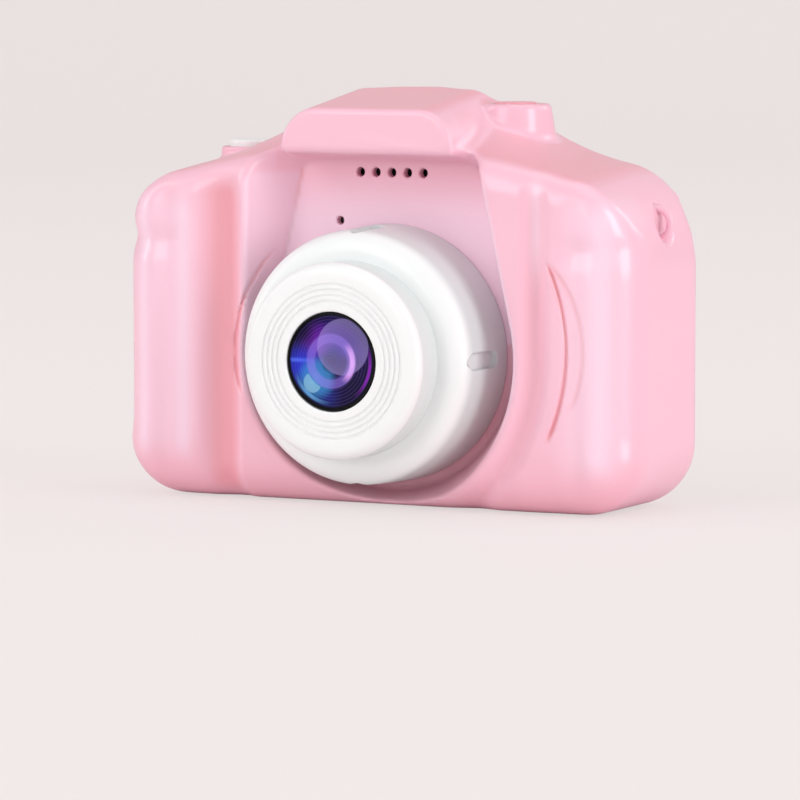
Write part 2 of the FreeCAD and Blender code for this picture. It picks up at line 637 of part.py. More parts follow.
def rear_shell():
    """The shallow rear half: screen opening, key openings, screw tubes and the lip."""
    outline = body_outline()
    outer = rounded_prism(outline, (SEAM_Y, REAR_Y))
    outer = round_edges(outer, REAR_EDGE_RADIUS, lambda edge: lies_at_y(edge, REAR_Y))
    inner = rounded_prism(inset_corners(outline, WALL), (SEAM_Y - PAST, REAR_INNER_Y))
    inner = round_edges(inner, REAR_EDGE_RADIUS - WALL, lambda edge: lies_at_y(edge, REAR_INNER_Y))
    shell = outer.cut(inner)
    lip_outline = inset_corners(outline, WALL + LIP_CLEARANCE)
    lip = rounded_prism(lip_outline, (SEAM_Y - LIP_LENGTH, SEAM_Y + LIP_LENGTH / 2))
    lip = lip.cut(rounded_prism(inset_corners(lip_outline, LIP_THICKNESS), (SEAM_Y - 3, SEAM_Y + 3)))
    root = rounded_prism(inset_corners(outline, WALL / 2), (SEAM_Y, SEAM_Y + LIP_LENGTH / 2))
    root = root.cut(rounded_prism(inset_corners(lip_outline, LIP_THICKNESS), (SEAM_Y - 3, SEAM_Y + 3)))
    tubes = [rod_y(SCREW_TUBE_RADIUS, x, z, (SHELL_POST_END_Y, REAR_INNER_Y + WALL / 2))
             for x, z in shell_screw_places()]
    shell = shell.fuse([lip, root] + tubes)
    cuts = []
    for x, z in shell_screw_places():
        cuts.append(rod_y(SCREW_PASS_RADIUS, x, z, (SHELL_POST_END_Y - PAST, REAR_Y)))
        cuts.append(rod_y(SCREW_RECESS_RADIUS, x, z, (screw_seat_y(), REAR_Y + PAST)))
    pocket = rounded_rectangle(SCREEN_X, SCREEN_Z, WINDOW_WIDTH + 2 * WINDOW_GAP,
                               WINDOW_HEIGHT + 2 * WINDOW_GAP, WINDOW_CORNER_RADIUS)
    cuts.append(rounded_prism(pocket, (WINDOW_SEAT_Y, REAR_Y + PAST)))
    view = rounded_rectangle(SCREEN_X, SCREEN_Z, VIEW_WIDTH, VIEW_HEIGHT, VIEW_CORNER_RADIUS)
    cuts.append(rounded_prism(view, (REAR_INNER_Y - PAST, REAR_Y)))
    opening = (REAR_INNER_Y - PAST, REAR_Y + PAST)
    cuts += [key_form(name, BUTTON_CLEARANCE, opening) for name in KEYS]
    return shell.cut(cuts)


# ======== lens ========
def lens_base_ring():
    """The wide ring that stands on the panel, with four slim notches on its side."""
    inner = LENS_BASE_RADIUS - LENS_BASE_WALL
    ring = turned([
        (inner, PANEL_Y),
        (LENS_BASE_RADIUS, PANEL_Y),
        (LENS_BASE_FRONT_RADIUS, LENS_BASE_FRONT_Y),
        (SPIGOT_RADIUS + LENS_FIT, LENS_BASE_FRONT_Y),
        (SPIGOT_RADIUS + LENS_FIT, LENS_BASE_FRONT_Y + LENS_BASE_WALL),
        (inner, LENS_BASE_FRONT_Y + LENS_BASE_WALL),
    ])
    land = LENS_BASE_FRONT_RADIUS - LENS_BARREL_RADIUS
    edge_radius = min(LENS_BASE_EDGE, LENS_EDGE_SHARE * land)
    ring = round_edges(ring, edge_radius, lambda edge: lies_at_y(edge, LENS_BASE_FRONT_Y)
                       and edge.BoundBox.XLength > 2 * SPIGOT_RADIUS + 1)
    spigot_room = rod_y(SPIGOT_RADIUS + LENS_FIT, 0, LENS_AXIS_HEIGHT,
                        (LENS_BASE_FRONT_Y, SPIGOT_END_Y + LENS_FIT))
    hole_y = (PANEL_Y - SMALL_SCREW_LENGTH - SCREW_TIP_GAP, PANEL_Y + PAST)
    bosses = []
    holes = []
    for x, z in lens_screw_places():
        boss = rod_y(LENS_BOSS_RADIUS, x, z, (LENS_BASE_FRONT_Y + LENS_BASE_WALL / 2, PANEL_Y))
        bosses.append(boss.cut(spigot_room))
        holes.append(rod_y(SCREW_HOLE_RADIUS, x, z, hole_y))
    for index in range(4):
        notch = block(centred(0, LENS_NOTCH_WIDTH),
                      (LENS_BASE_FRONT_Y - PAST, LENS_BASE_FRONT_Y + LENS_NOTCH_LENGTH),
                      (LENS_BASE_FRONT_RADIUS - LENS_NOTCH_DEPTH, LENS_BASE_RADIUS + PAST))
        notch = round_edges(notch, LENS_NOTCH_WIDTH / 2 - NOTCH_END_FLAT,
                            lambda edge: edge.BoundBox.ZLength > 1 and edge.BoundBox.YMin > LENS_BASE_FRONT_Y)
        notch.rotate(Vector(0, 0, 0), Vector(0, 1, 0), 90 * index)
        notch.translate(Vector(0, 0, LENS_AXIS_HEIGHT))
        holes.append(notch)
    return ring.fuse(bosses).cut(holes)


def lens_barrel():
    """The narrower front ring with fine turned grooves, and the spigot that holds it."""
    bore = BEZEL_RADIUS + LENS_FIT
    inner = SPIGOT_RADIUS - LENS_BARREL_WALL
    barrel = turned([
        (bore, LENS_FRONT_Y),
        (LENS_BARREL_RADIUS, LENS_FRONT_Y),
        (LENS_BARREL_RADIUS, LENS_BASE_FRONT_Y),
        (SPIGOT_RADIUS, LENS_BASE_FRONT_Y),
        (SPIGOT_RADIUS, SPIGOT_END_Y),
        (inner, SPIGOT_END_Y),
        (inner, LENS_FRONT_Y + LENS_BARREL_WALL),
        (bore, LENS_FRONT_Y + LENS_BARREL_WALL),
    ])
    barrel = round_edges(barrel, LENS_BARREL_EDGE, lambda edge: lies_at_y(edge, LENS_FRONT_Y)
                         and edge.BoundBox.XLength > 2 * bore + 1)
    grooves = [tube_y(radius + GROOVE_SIZE / 2, radius - GROOVE_SIZE / 2, 0, LENS_AXIS_HEIGHT,
                      (LENS_FRONT_Y - PAST, LENS_FRONT_Y + GROOVE_SIZE)) for radius in GROOVE_RADII]
    return barrel.cut(grooves)


def lens_bezel():
    """The thin black ring that holds the front window, with a flange behind the barrel's face."""
    front = LENS_FRONT_Y + BEZEL_SETBACK
    flange_y = LENS_FRONT_Y + LENS_BARREL_WALL
    seat = WINDOW_RADIUS - WINDOW_LEDGE
    return turned([
        (WINDOW_RADIUS + LENS_FIT, front),
        (BEZEL_RADIUS, front),
        (BEZEL_RADIUS, flange_y),
        (BEZEL_RADIUS + BEZEL_FLANGE_WIDTH, flange_y),
        (BEZEL_RADIUS + BEZEL_FLANGE_WIDTH, flange_y + BEZEL_FLANGE_THICKNESS),
        (BEZEL_RADIUS, flange_y + BEZEL_FLANGE_THICKNESS),
        (BEZEL_RADIUS, BEZEL_REAR_Y),
        (seat, BEZEL_REAR_Y),
        (seat, WINDOW_REAR_Y),
        (WINDOW_RADIUS + LENS_FIT, WINDOW_REAR_Y),
    ])


def lens_window():
    """The clear front window, slightly domed."""
    front = LENS_FRONT_Y + WINDOW_SETBACK
    disc = rod_y(WINDOW_RADIUS, 0, LENS_AXIS_HEIGHT, (front, WINDOW_REAR_Y))
    sphere_radius = (WINDOW_RADIUS ** 2 + WINDOW_DOME ** 2) / (2 * WINDOW_DOME)
    ball = Part.makeSphere(sphere_radius, Vector(0, front - WINDOW_DOME + sphere_radius, LENS_AXIS_HEIGHT))
    cap_y = (front - WINDOW_DOME - PAST, front + WINDOW_THICKNESS / 2)
    cap = ball.common(rod_y(WINDOW_RADIUS, 0, LENS_AXIS_HEIGHT, cap_y))
    return disc.fuse(cap)


def lens_shade():
    """The black funnel between the window and the lens cell."""
    wide = WINDOW_RADIUS - SHADE_WALL
    narrow = CELL_RADIUS + SHADE_GAP
    foot_y = CELL_FRONT_Y + SHADE_FOOT_LENGTH
    lip_y = CELL_FRONT_Y - SHADE_LIP_LENGTH
    return turned([
        (wide - SHADE_WALL, WINDOW_REAR_Y + SHADE_GAP),
        (wide, WINDOW_REAR_Y + SHADE_GAP),
        (wide, BEZEL_REAR_Y),
        (narrow + SHADE_FOOT_WALL, BEZEL_REAR_Y),
        (narrow + SHADE_FOOT_WALL, foot_y),
        (narrow, foot_y),
        (narrow, lip_y),
        (narrow - SHADE_LIP_WIDTH, lip_y),
    ])


def lens_cell():
    """The small threaded lens barrel of the camera module."""
    return turned([
        (CELL_BORE_RADIUS, CELL_FRONT_Y),
        (CELL_RADIUS, CELL_FRONT_Y),
        (CELL_RADIUS, CELL_REAR_Y),
        (CELL_BORE_RADIUS, CELL_REAR_Y),
    ])


def lens_element():
    """The front glass of the camera module."""
    front = CELL_FRONT_Y + ELEMENT_SETBACK
    return rod_y(CELL_BORE_RADIUS - ELEMENT_FIT, 0, LENS_AXIS_HEIGHT, (front, front + ELEMENT_THICKNESS))


def sensor_holder():
    """The square foot that the lens cell screws into."""
    half = HOLDER_SIZE / 2
    body = block((-half, half), (HOLDER_FRONT_Y, HOLDER_REAR_Y), centred(LENS_AXIS_HEIGHT, HOLDER_SIZE))
    bore = rod_y(CELL_RADIUS + HOLDER_FIT, 0, LENS_AXIS_HEIGHT, (HOLDER_FRONT_Y - PAST, CELL_REAR_Y))
    chamber = rod_y(CELL_RADIUS - HOLDER_LEDGE, 0, LENS_AXIS_HEIGHT, (HOLDER_FRONT_Y, HOLDER_REAR_Y + PAST))
    return body.cut([bore, chamber])


def module_carrier():
    """The plate behind the barrel's spigot that holds the camera module on the axis."""
    y_range = (SPIGOT_END_Y, SPIGOT_END_Y + CARRIER_THICKNESS)
    plate = rod_y(SPIGOT_RADIUS, 0, LENS_AXIS_HEIGHT, y_range)
    size = HOLDER_SIZE + 2 * LENS_FIT
    window = block(centred(0, size), (y_range[0] - PAST, y_range[1] + PAST), centred(LENS_AXIS_HEIGHT, size))
    room = LENS_BOSS_RADIUS + CARRIER_BOSS_GAP
    bosses = [rod_y(room, x, z, (y_range[0] - PAST, y_range[1] + PAST)) for x, z in lens_screw_places()]
    return plate.cut([window] + bosses)


def sensor_board():
    """The small board behind the holder."""
    return block(centred(0, SENSOR_BOARD_SIZE), (HOLDER_REAR_Y, SENSOR_BOARD_REAR_Y),
                 centred(LENS_AXIS_HEIGHT, SENSOR_BOARD_SIZE))


def strip(points, bend, width, x):
    """A flat cable of even thickness whose middle line runs through (y, z) points with round bends."""
    half = FLEX_THICKNESS / 2
    path = [Vector(x, y, z) for y, z in points]
    edges = []
    start = path[0]
    for index in range(1, len(path) - 1):
        back = (path[index - 1] - path[index]).normalize()
        ahead = (path[index + 1] - path[index]).normalize()
        angle = back.getAngle(ahead) / 2
        reach = bend / math.tan(angle)
        to_arc = bend / math.sin(angle) - bend
        first = path[index] + back * reach
        last = path[index] + ahead * reach
        middle = path[index] + (back + ahead).normalize() * to_arc
        edges.append(Part.LineSegment(start, first).toShape())
        edges.append(Part.Arc(first, middle, last).toShape())
        start = last
    edges.append(Part.LineSegment(start, path[-1]).toShape())
    wire = Part.Wire(edges)
    direction = (path[1] - path[0]).normalize()
    across = Vector(1, 0, 0)
    normal = direction.cross(across)
    corners = []
    for side, lift in ((-1, -1), (1, -1), (1, 1), (-1, 1), (-1, -1)):
        corners.append(path[0] + across * (side * width / 2) + normal * (lift * half))
    return wire.makePipeShell([Part.makePolygon(corners)], True, False)


def sensor_flex():
    """The flat cable from the sensor board through the panel to the main board."""
    z = LENS_AXIS_HEIGHT - 2.0
    y_end = BOARD_FRONT_Y - FLEX_THICKNESS / 2
    return strip([(SENSOR_BOARD_REAR_Y, z), (y_end, z), (y_end, z + 7.0)], 2.5, SENSOR_FLEX_WIDTH, 0)


# ======== main board and what sits on it ========
def main_board():
    """The main board, cut away around the shell posts and the shutter button."""
    half = HALF_WIDTH - WALL - BOARD_SIDE_GAP
    y_range = (BOARD_FRONT_Y, BOARD_REAR_Y)
    corners = [(half, BOARD_BOTTOM, BOARD_CORNER_RADIUS), (half, BOARD_TOP, BOARD_CORNER_RADIUS)]
    board = rounded_prism(mirrored(corners), y_range)
    outline = rounded_prism(inset_corners(body_outline(), WALL + BOARD_WALL_GAP), y_range)
    board = board.common(outline)
    past = (BOARD_FRONT_Y - PAST, BOARD_REAR_Y + PAST)
    cuts = [rod_y(SHELL_POST_RADIUS + BOARD_NOTCH_GAP, x, z, past) for x, z in shell_screw_places()]
    cuts += [rod_y(SCREW_PASS_RADIUS, x, z, past) for x, z in board_screw_places()]
    notch_half = SHUTTER_RADIUS + FLANGE_WIDTH + BOARD_NOTCH_GAP
    notch_z = shutter_flange_top() - FLANGE_THICKNESS - BUTTON_TRAVEL - BOARD_NOTCH_GAP
    cuts.append(block(centred(SHUTTER_X, 2 * notch_half), past, (notch_z, BOARD_TOP + PAST)))
    return board.cut(cuts)


def main_processor():
    """The main chip on the front of the board."""
    x = -CHIP_SIZE
    return block(centred(x, CHIP_SIZE), (BOARD_FRONT_Y - CHIP_HEIGHT, BOARD_FRONT_Y),
                 centred(PROCESSOR_Z, CHIP_SIZE))


def memory_chip():
    """The program memory beside the main chip."""
    x = -2 * CHIP_SIZE
    return block(centred(x, MEMORY_CHIP_WIDTH), (BOARD_FRONT_Y - CHIP_HEIGHT, BOARD_FRONT_Y),
                 centred(MEMORY_Z, MEMORY_CHIP_DEPTH))


def usb_socket():
    """The micro USB charging socket, open downwards."""
    y_range = (BOARD_FRONT_Y - USB_HEIGHT, BOARD_FRONT_Y)
    z_range = (SOCKET_MOUTH_Z, SOCKET_MOUTH_Z + USB_LENGTH)
    case = block(centred(USB_X, USB_WIDTH), y_range, z_range)
    case = round_edges(case, USB_CORNER_RADIUS, lambda edge: edge.BoundBox.ZLength > USB_LENGTH - 0.1
                       and edge.BoundBox.YMin < BOARD_FRONT_Y - 1)
    hollow = block(centred(USB_X, USB_WIDTH - 2 * SOCKET_WALL),
                   (y_range[0] + SOCKET_WALL, y_range[1] - SOCKET_WALL), (z_range[0] - PAST, z_range[1] - 1.0))
    tongue = block(centred(USB_X, USB_WIDTH - 2 * USB_TONGUE_INSET),
                   centred(sum(y_range) / 2, USB_TONGUE_THICKNESS),
                   (z_range[0] + USB_TONGUE_THICKNESS, z_range[1]))
    return case.cut(hollow).fuse(tongue)


def card_socket():
    """The memory card socket, open downwards."""
    y_range = (BOARD_FRONT_Y - CARD_HEIGHT, BOARD_FRONT_Y)
    z_range = (SOCKET_MOUTH_Z, SOCKET_MOUTH_Z + CARD_LENGTH)
    case = block(centred(CARD_X, CARD_WIDTH), y_range, z_range)
    slot = block(centred(CARD_X, CARD_SLOT_WIDTH), centred(sum(y_range) / 2, CARD_SLOT_HEIGHT),
                 (z_range[0] - PAST, z_range[1] - 1.5))
    return case.cut(slot)


def reset_switch():
    """The tiny switch behind the pin hole in the bottom."""
    return block(centred(RESET_X, RESET_WIDTH), (BOARD_FRONT_Y - SWITCH_HEIGHT, BOARD_FRONT_Y),
                 (BOARD_BOTTOM, BOARD_BOTTOM + 3.0))


# ======== switches, plungers and buttons ========
def upright_switch(x, top):
    """A side-push switch on the front of the board, its plunger pointing up."""
    body = block(centred(x, SWITCH_SIZE), (BOARD_FRONT_Y - SWITCH_HEIGHT, BOARD_FRONT_Y), (top - SWITCH_SIZE, top))
    hole = rod_z(PLUNGER_STEM_RADIUS + PLUNGER_CLEARANCE, x, BUTTON_Y,
                 (top - PLUNGER_INSIDE - BUTTON_TRAVEL - PLUNGER_BOTTOM_GAP, top + PAST))
    return body.cut(hole)


def upright_plunger(x, top):
    """The plunger of an upright switch."""
    foot = top - PLUNGER_INSIDE
    return rod_z(PLUNGER_STEM_RADIUS, x, BUTTON_Y, (foot, foot + PLUNGER_LENGTH))


def shutter_flange_top():
    """Top of the shutter button's flange, under the lowest part of the shoulder's wall."""
    return shoulder_height(SHUTTER_X) - WALL - SHOULDER_SLOPE * SHUTTER_COLLAR_RADIUS - STOP_GAP


def shutter_switch_top():
    """Top of the shutter switch's body."""
    return shutter_flange_top() - FLANGE_THICKNESS - PLUNGER_LENGTH + PLUNGER_INSIDE


def power_switch_top():
    """Top of the power switch's body."""
    return BOARD_TOP - 1.0


def shutter_switch():
    """The switch under the shutter button."""
    return upright_switch(SHUTTER_X, shutter_switch_top())


def shutter_plunger():
    """The plunger that the shutter button pushes."""
    return upright_plunger(SHUTTER_X, shutter_switch_top())


def power_switch():
    """The switch under the power button."""
    return upright_switch(POWER_X, power_switch_top())


def power_plunger():
    """The plunger that the power button pushes."""
    return upright_plunger(POWER_X, power_switch_top())


def shutter_button():
    """The white cap on the shoulder with its flange."""
    flange_top = shutter_flange_top()
    top = shoulder_height(SHUTTER_X) + SHUTTER_COLLAR_RISE + SHUTTER_PROUD
    cap = rod_z(SHUTTER_RADIUS, SHUTTER_X, BUTTON_Y, (flange_top - FLANGE_THICKNESS, top))
    cap = round_edges(cap, SHUTTER_EDGE, lambda edge: abs(edge.BoundBox.ZMin - top) < 1e-4)
    flange_z = (flange_top - FLANGE_THICKNESS, flange_top)
    flange = rod_z(SHUTTER_RADIUS + FLANGE_WIDTH, SHUTTER_X, BUTTON_Y, flange_z)
    return cap.fuse(flange)


def power_button():
    """The round button in the dial boss, with a long shaft down to its switch."""
    top = DIAL_BOSS_TOP + POWER_PROUD
    flange_top = DIAL_BOSS_TOP - WALL - STOP_GAP
    shaft_foot = power_switch_top() - PLUNGER_INSIDE + PLUNGER_LENGTH
    cap = rod_z(POWER_RADIUS, POWER_X, BUTTON_Y, (flange_top - FLANGE_THICKNESS, top))
    cap = round_edges(cap, POWER_EDGE, lambda edge: abs(edge.BoundBox.ZMin - top) < 1e-4)
    flange_z = (flange_top - FLANGE_THICKNESS, flange_top)
    flange = rod_z(POWER_RADIUS + FLANGE_WIDTH, POWER_X, BUTTON_Y, flange_z)
    shaft = rod_z(BUTTON_SHAFT_RADIUS, POWER_X, BUTTON_Y, (shaft_foot, flange_top))
    return cap.fuse([flange, shaft])


def key_places():
    """Name to (x, z) of the middle of each rear key's switch."""
    reach = ARROW_SWITCH_RADIUS
    return {
        "ok_key": (KEYPAD_X, KEYPAD_Z),
        "up_key": (KEYPAD_X, KEYPAD_Z + reach),
        "down_key": (KEYPAD_X, KEYPAD_Z - reach),
        "left_key": (KEYPAD_X + reach, KEYPAD_Z),
        "right_key": (KEYPAD_X - reach, KEYPAD_Z),
        "mode_key": (KEYPAD_X, MODE_KEY_Z),
        "playback_key": (KEYPAD_X, PLAYBACK_KEY_Z),
    }


KEYS = key_places()


def arrow_sector(name, grow, y_range):
    """A quarter of the ring of arrow keys, with parallel gaps between neighbours."""
    ring = rod_y(ARROW_OUTER_RADIUS + grow, KEYPAD_X, KEYPAD_Z, y_range)
    ring = ring.cut(rod_y(ARROW_INNER_RADIUS - grow, KEYPAD_X, KEYPAD_Z, y_range))
    turn = {"left_key": 0, "up_key": 1, "right_key": 2, "down_key": 3}[name]
    reach = 3 * ARROW_OUTER_RADIUS
    tip = (ARROW_GAP / 2 - grow) * math.sqrt(2)
    wedge = Part.Face(Part.makePolygon([
        Vector(tip, y_range[0], 0),
        Vector(tip + reach, y_range[0], reach),
        Vector(tip + reach, y_range[0], -reach),
        Vector(tip, y_range[0], 0),
    ])).extrude(Vector(0, y_range[1] - y_range[0], 0))
    wedge.rotate(Vector(0, 0, 0), Vector(0, 1, 0), -90 * turn)
    wedge.translate(Vector(KEYPAD_X, 0, KEYPAD_Z))
    return ring.common(wedge)


def key_form(name, grow, y_range):
    """The outline of a rear key, made larger all round by grow."""
    if name in ("up_key", "down_key", "left_key", "right_key"):
        return arrow_sector(name, grow, y_range)
    x, z = KEYS[name]
    radius = OK_KEY_RADIUS if name == "ok_key" else ROUND_KEY_RADIUS
    return rod_y(radius + grow, x, z, y_range)


def rear_key(name):
    """A rear key: cap, flange behind the shell wall and a post down to its switch."""
    x, z = KEYS[name]
    top = REAR_Y + KEY_PROUD
    flange_rear = REAR_INNER_Y - STOP_GAP
    flange = key_form(name, FLANGE_WIDTH, (flange_rear - FLANGE_THICKNESS, flange_rear))
    cap = key_form(name, 0, (flange_rear - FLANGE_THICKNESS, top))
    cap = round_edges(cap, KEY_EDGE, lambda edge: lies_at_y(edge, top))
    post_foot = BOARD_REAR_Y + SWITCH_HEIGHT - PLUNGER_INSIDE + PLUNGER_LENGTH
    parts = [flange]
    if post_foot < flange_rear - FLANGE_THICKNESS:
        parts.append(rod_y(BUTTON_SHAFT_RADIUS, x, z, (post_foot, flange_rear)))
    return cap.fuse(parts)


def key_plunger(name):
    """The plunger of the switch under a rear key, up to the underside of the key."""
    x, z = KEYS[name]
    foot = BOARD_REAR_Y + SWITCH_HEIGHT - PLUNGER_INSIDE
    top = min(foot + PLUNGER_LENGTH, REAR_INNER_Y - STOP_GAP - FLANGE_THICKNESS)
    return rod_y(PLUNGER_STEM_RADIUS, x, z, (foot, top))


def key_switches():
    """The seven equal switches on the rear of the board."""
    solids = []
    for x, z in KEYS.values():
        body = block(centred(x, SWITCH_SIZE), (BOARD_REAR_Y, BOARD_REAR_Y + SWITCH_HEIGHT),
                     centred(z, SWITCH_SIZE))
        hole = rod_y(PLUNGER_STEM_RADIUS + PLUNGER_CLEARANCE, x, z,
                     (BOARD_REAR_Y + SWITCH_HEIGHT - PLUNGER_INSIDE - KEY_TRAVEL - PLUNGER_BOTTOM_GAP,
                      BOARD_REAR_Y + SWITCH_HEIGHT + PAST))
        solids.append(body.cut(hole))
    return Part.makeCompound(solids)


# ======== screen ========
def screen_window():
    """The clear pane in the rear shell's pocket."""
    corners = rounded_rectangle(SCREEN_X, SCREEN_Z, WINDOW_WIDTH, WINDOW_HEIGHT,
                                WINDOW_CORNER_RADIUS - WINDOW_GAP)
    return rounded_prism(corners, (REAR_Y - WINDOW_PANE, REAR_Y))


def window_adhesive():
    """The frame of tape under the pane."""
    y_range = (WINDOW_SEAT_Y, REAR_Y - WINDOW_PANE)
    outer = rounded_rectangle(SCREEN_X, SCREEN_Z, WINDOW_WIDTH, WINDOW_HEIGHT, WINDOW_CORNER_RADIUS)
    outer = rounded_prism(outer, y_range)
    inner = rounded_rectangle(SCREEN_X, SCREEN_Z, WINDOW_WIDTH - 2 * ADHESIVE_WIDTH,
                              WINDOW_HEIGHT - 2 * ADHESIVE_WIDTH, WINDOW_CORNER_RADIUS / 2)
    return outer.cut(rounded_prism(inner, (y_range[0] - PAST, y_range[1] + PAST)))


def lcd_panel():
    """The colour display module."""
    return block(centred(SCREEN_X, LCD_WIDTH), (LCD_FRONT_Y, LCD_REAR_Y), centred(SCREEN_Z, LCD_HEIGHT))


def lcd_frame():
    """The plastic frame that holds the display off the board."""
    width = LCD_WIDTH + 2 * (LCD_GAP + FRAME_WALL)
    height = LCD_HEIGHT + 2 * (LCD_GAP + FRAME_WALL)
    frame = block(centred(SCREEN_X, width), (BOARD_REAR_Y, LCD_REAR_Y), centred(SCREEN_Z, height))
    pocket = block(centred(SCREEN_X, LCD_WIDTH + 2 * LCD_GAP), (LCD_FRONT_Y, LCD_REAR_Y + PAST),
                   centred(SCREEN_Z, LCD_HEIGHT + 2 * LCD_GAP))
    window = block(centred(SCREEN_X, LCD_WIDTH - 4), (BOARD_REAR_Y - PAST, LCD_REAR_Y),
                   centred(SCREEN_Z, LCD_HEIGHT - 4))
    lightening = block(centred(SCREEN_X, LCD_WIDTH + 2 * LCD_GAP), (BOARD_REAR_Y - PAST, LCD_FRONT_Y - FRAME_SHELF),
                       centred(SCREEN_Z, LCD_HEIGHT + 2 * LCD_GAP))
    corners = [rod_y(SCREW_TUBE_RADIUS + FRAME_CLEARANCE, x, z, (BOARD_REAR_Y - PAST, LCD_REAR_Y + PAST))
               for x, z in shell_screw_places()]
    return frame.cut([pocket, window, lightening] + corners)


def lcd_flex():
    """The display's flat cable, folded back once onto the board."""
    high_y = LCD_FRONT_Y - FLEX_THICKNESS / 2
    low_y = BOARD_REAR_Y + FLEX_THICKNESS / 2
    bend = (high_y - low_y) / 2 - LCD_FLEX_GAP
    fold_z = SCREEN_Z - LCD_HEIGHT / 2 + LCD_FLEX_RISE
    top_z = fold_z + bend + LCD_FLEX_RUN
    return strip([(high_y, top_z), (high_y, fold_z), (low_y, fold_z), (low_y, top_z - 2)], bend,
                 LCD_FLEX_WIDTH, SCREEN_X)


# ======== battery, speaker, microphone ========
def battery_rear_y():
    """The battery's face that the foam pad sticks to."""
    return BOARD_FRONT_Y - PAD_THICKNESS


def battery_pack():
    """The flat rechargeable cell in the right grip."""
    y_range = (battery_rear_y() - BATTERY_THICKNESS, battery_rear_y())
    cell = block(centred(BATTERY_X, BATTERY_WIDTH), y_range, centred(BATTERY_Z, BATTERY_HEIGHT))
    return round_edges(cell, BATTERY_EDGE, lambda edge: edge.BoundBox.ZLength > BATTERY_HEIGHT - 0.1)


def battery_pad():
    """The foam tape between the cell and the board."""
    return block(centred(BATTERY_X, BATTERY_WIDTH - 4), (battery_rear_y(), BOARD_FRONT_Y),
                 centred(BATTERY_Z, BATTERY_HEIGHT - 6))


def lead(x, start, corner, end):
    """A round wire in the plane at x through (y, z) points with one round bend."""
    a, b, c = [Vector(x, y, z) for y, z in (start, corner, end)]
    back = (a - b).normalize()
    ahead = (c - b).normalize()
    angle = back.getAngle(ahead) / 2
    reach = LEAD_BEND / math.tan(angle)
    middle = b + (back + ahead).normalize() * (LEAD_BEND / math.sin(angle) - LEAD_BEND)
    wire = Part.Wire([
        Part.LineSegment(a, b + back * reach).toShape(),
        Part.Arc(b + back * reach, middle, b + ahead * reach).toShape(),
        Part.LineSegment(b + ahead * reach, c).toShape(),
    ])
    section = Part.Wire([Part.makeCircle(LEAD_RADIUS, a, b - a)])
    return wire.makePipeShell([section], True, False)


def battery_leads():
    """The two wires from the top of the cell to the board."""
    y = battery_rear_y() - BATTERY_THICKNESS / 2
    low = BATTERY_Z + BATTERY_HEIGHT / 2
    high = low + 3.2
    x = BATTERY_X + BATTERY_LEAD_OFFSET
    solids = [lead(x + side * LEAD_SPACING / 2, (y, low), (y, high), (BOARD_FRONT_Y, high)) for side in (-1, 1)]
    return Part.makeCompound(solids)


def speaker():
    """The round loudspeaker behind the row of holes."""
    rim = rod_y(SPEAKER_RADIUS, SPEAKER_X, SPEAKER_Z,
                (SPEAKER_FRONT_Y, SPEAKER_FRONT_Y + SPEAKER_RIM_THICKNESS))
    magnet = rod_y(SPEAKER_MAGNET_RADIUS, SPEAKER_X, SPEAKER_Z, (SPEAKER_FRONT_Y, SPEAKER_REAR_Y))
    return rim.fuse(magnet)


def speaker_gasket():
    """The foam ring between the speaker and the shell."""
    return tube_y(SPEAKER_RADIUS, SPEAKER_RADIUS - GASKET_WIDTH, SPEAKER_X, SPEAKER_Z,
                  (PANEL_INNER_Y, SPEAKER_FRONT_Y))


def speaker_leads():
    """The two wires from the speaker's rim down and back to the board."""
    y = SPEAKER_FRONT_Y + SPEAKER_LEAD_DEPTH
    high = SPEAKER_Z - SPEAKER_MAGNET_RADIUS - SPEAKER_LEAD_RUN
    low = high - SPEAKER_LEAD_DROP
    solids = [lead(SPEAKER_X + side * LEAD_SPACING / 2, (y, high), (y, low), (BOARD_FRONT_Y, low))
              for side in (-1, 1)]
    return Part.makeCompound(solids)


def microphone():
    """The round microphone capsule behind its hole."""
    return rod_y(MIC_RADIUS, MIC_X, MIC_Z, (PANEL_INNER_Y + MIC_FRONT_GAP, MIC_REAR_Y))


def microphone_boot():
    """The rubber cup around the capsule, open at the front hole and at the rear."""
    y_range = (PANEL_INNER_Y, MIC_REAR_Y)
    cup = rod_y(MIC_RADIUS + MIC_BOOT_WALL, MIC_X, MIC_Z, y_range)
    hollow = rod_y(MIC_RADIUS, MIC_X, MIC_Z, (y_range[0] + MIC_FRONT_GAP, y_range[1] + PAST))
    mouth = rod_y(MIC_HOLE_RADIUS, MIC_X, MIC_Z, (y_range[0] - PAST, y_range[1]))
    return cup.cut([hollow, mouth])


def microphone_leads():
    """The two stiff wires from the capsule to the board."""
    return Part.makeCompound([
        rod_y(MIC_LEAD_RADIUS, MIC_X + side * MIC_LEAD_SPACING / 2, MIC_Z, (MIC_REAR_Y, BOARD_FRONT_Y))
        for side in (-1, 1)])


# ======== screws ========
def screw(x, z, seat_y, length):
    """A pan-head screw entering towards -Y, its head on the seat."""
    shank = rod_y(SCREW_RADIUS, x, z, (seat_y - length, seat_y + 0.1))
    head = rod_y(SCREW_HEAD_RADIUS, x, z, (seat_y, seat_y + SCREW_HEAD_HEIGHT))
    head = round_edges(head, SCREW_HEAD_EDGE, lambda edge: lies_at_y(edge, seat_y + SCREW_HEAD_HEIGHT))
    slot_y = (seat_y + SCREW_SLOT_FLOOR, seat_y + SCREW_HEAD_HEIGHT + PAST)
    cross = block(centred(x, SCREW_SLOT_LENGTH), slot_y, centred(z, SCREW_SLOT_WIDTH))
    bar = block(centred(x, SCREW_SLOT_WIDTH), slot_y, centred(z, SCREW_SLOT_LENGTH))
    return shank.fuse(head).cut([cross, bar])


def shell_screws():
    """The screws that hold the two shell halves together."""
    seat_y = screw_seat_y()
    return Part.makeCompound([screw(x, z, seat_y, SHELL_SCREW_LENGTH) for x, z in shell_screw_places()])


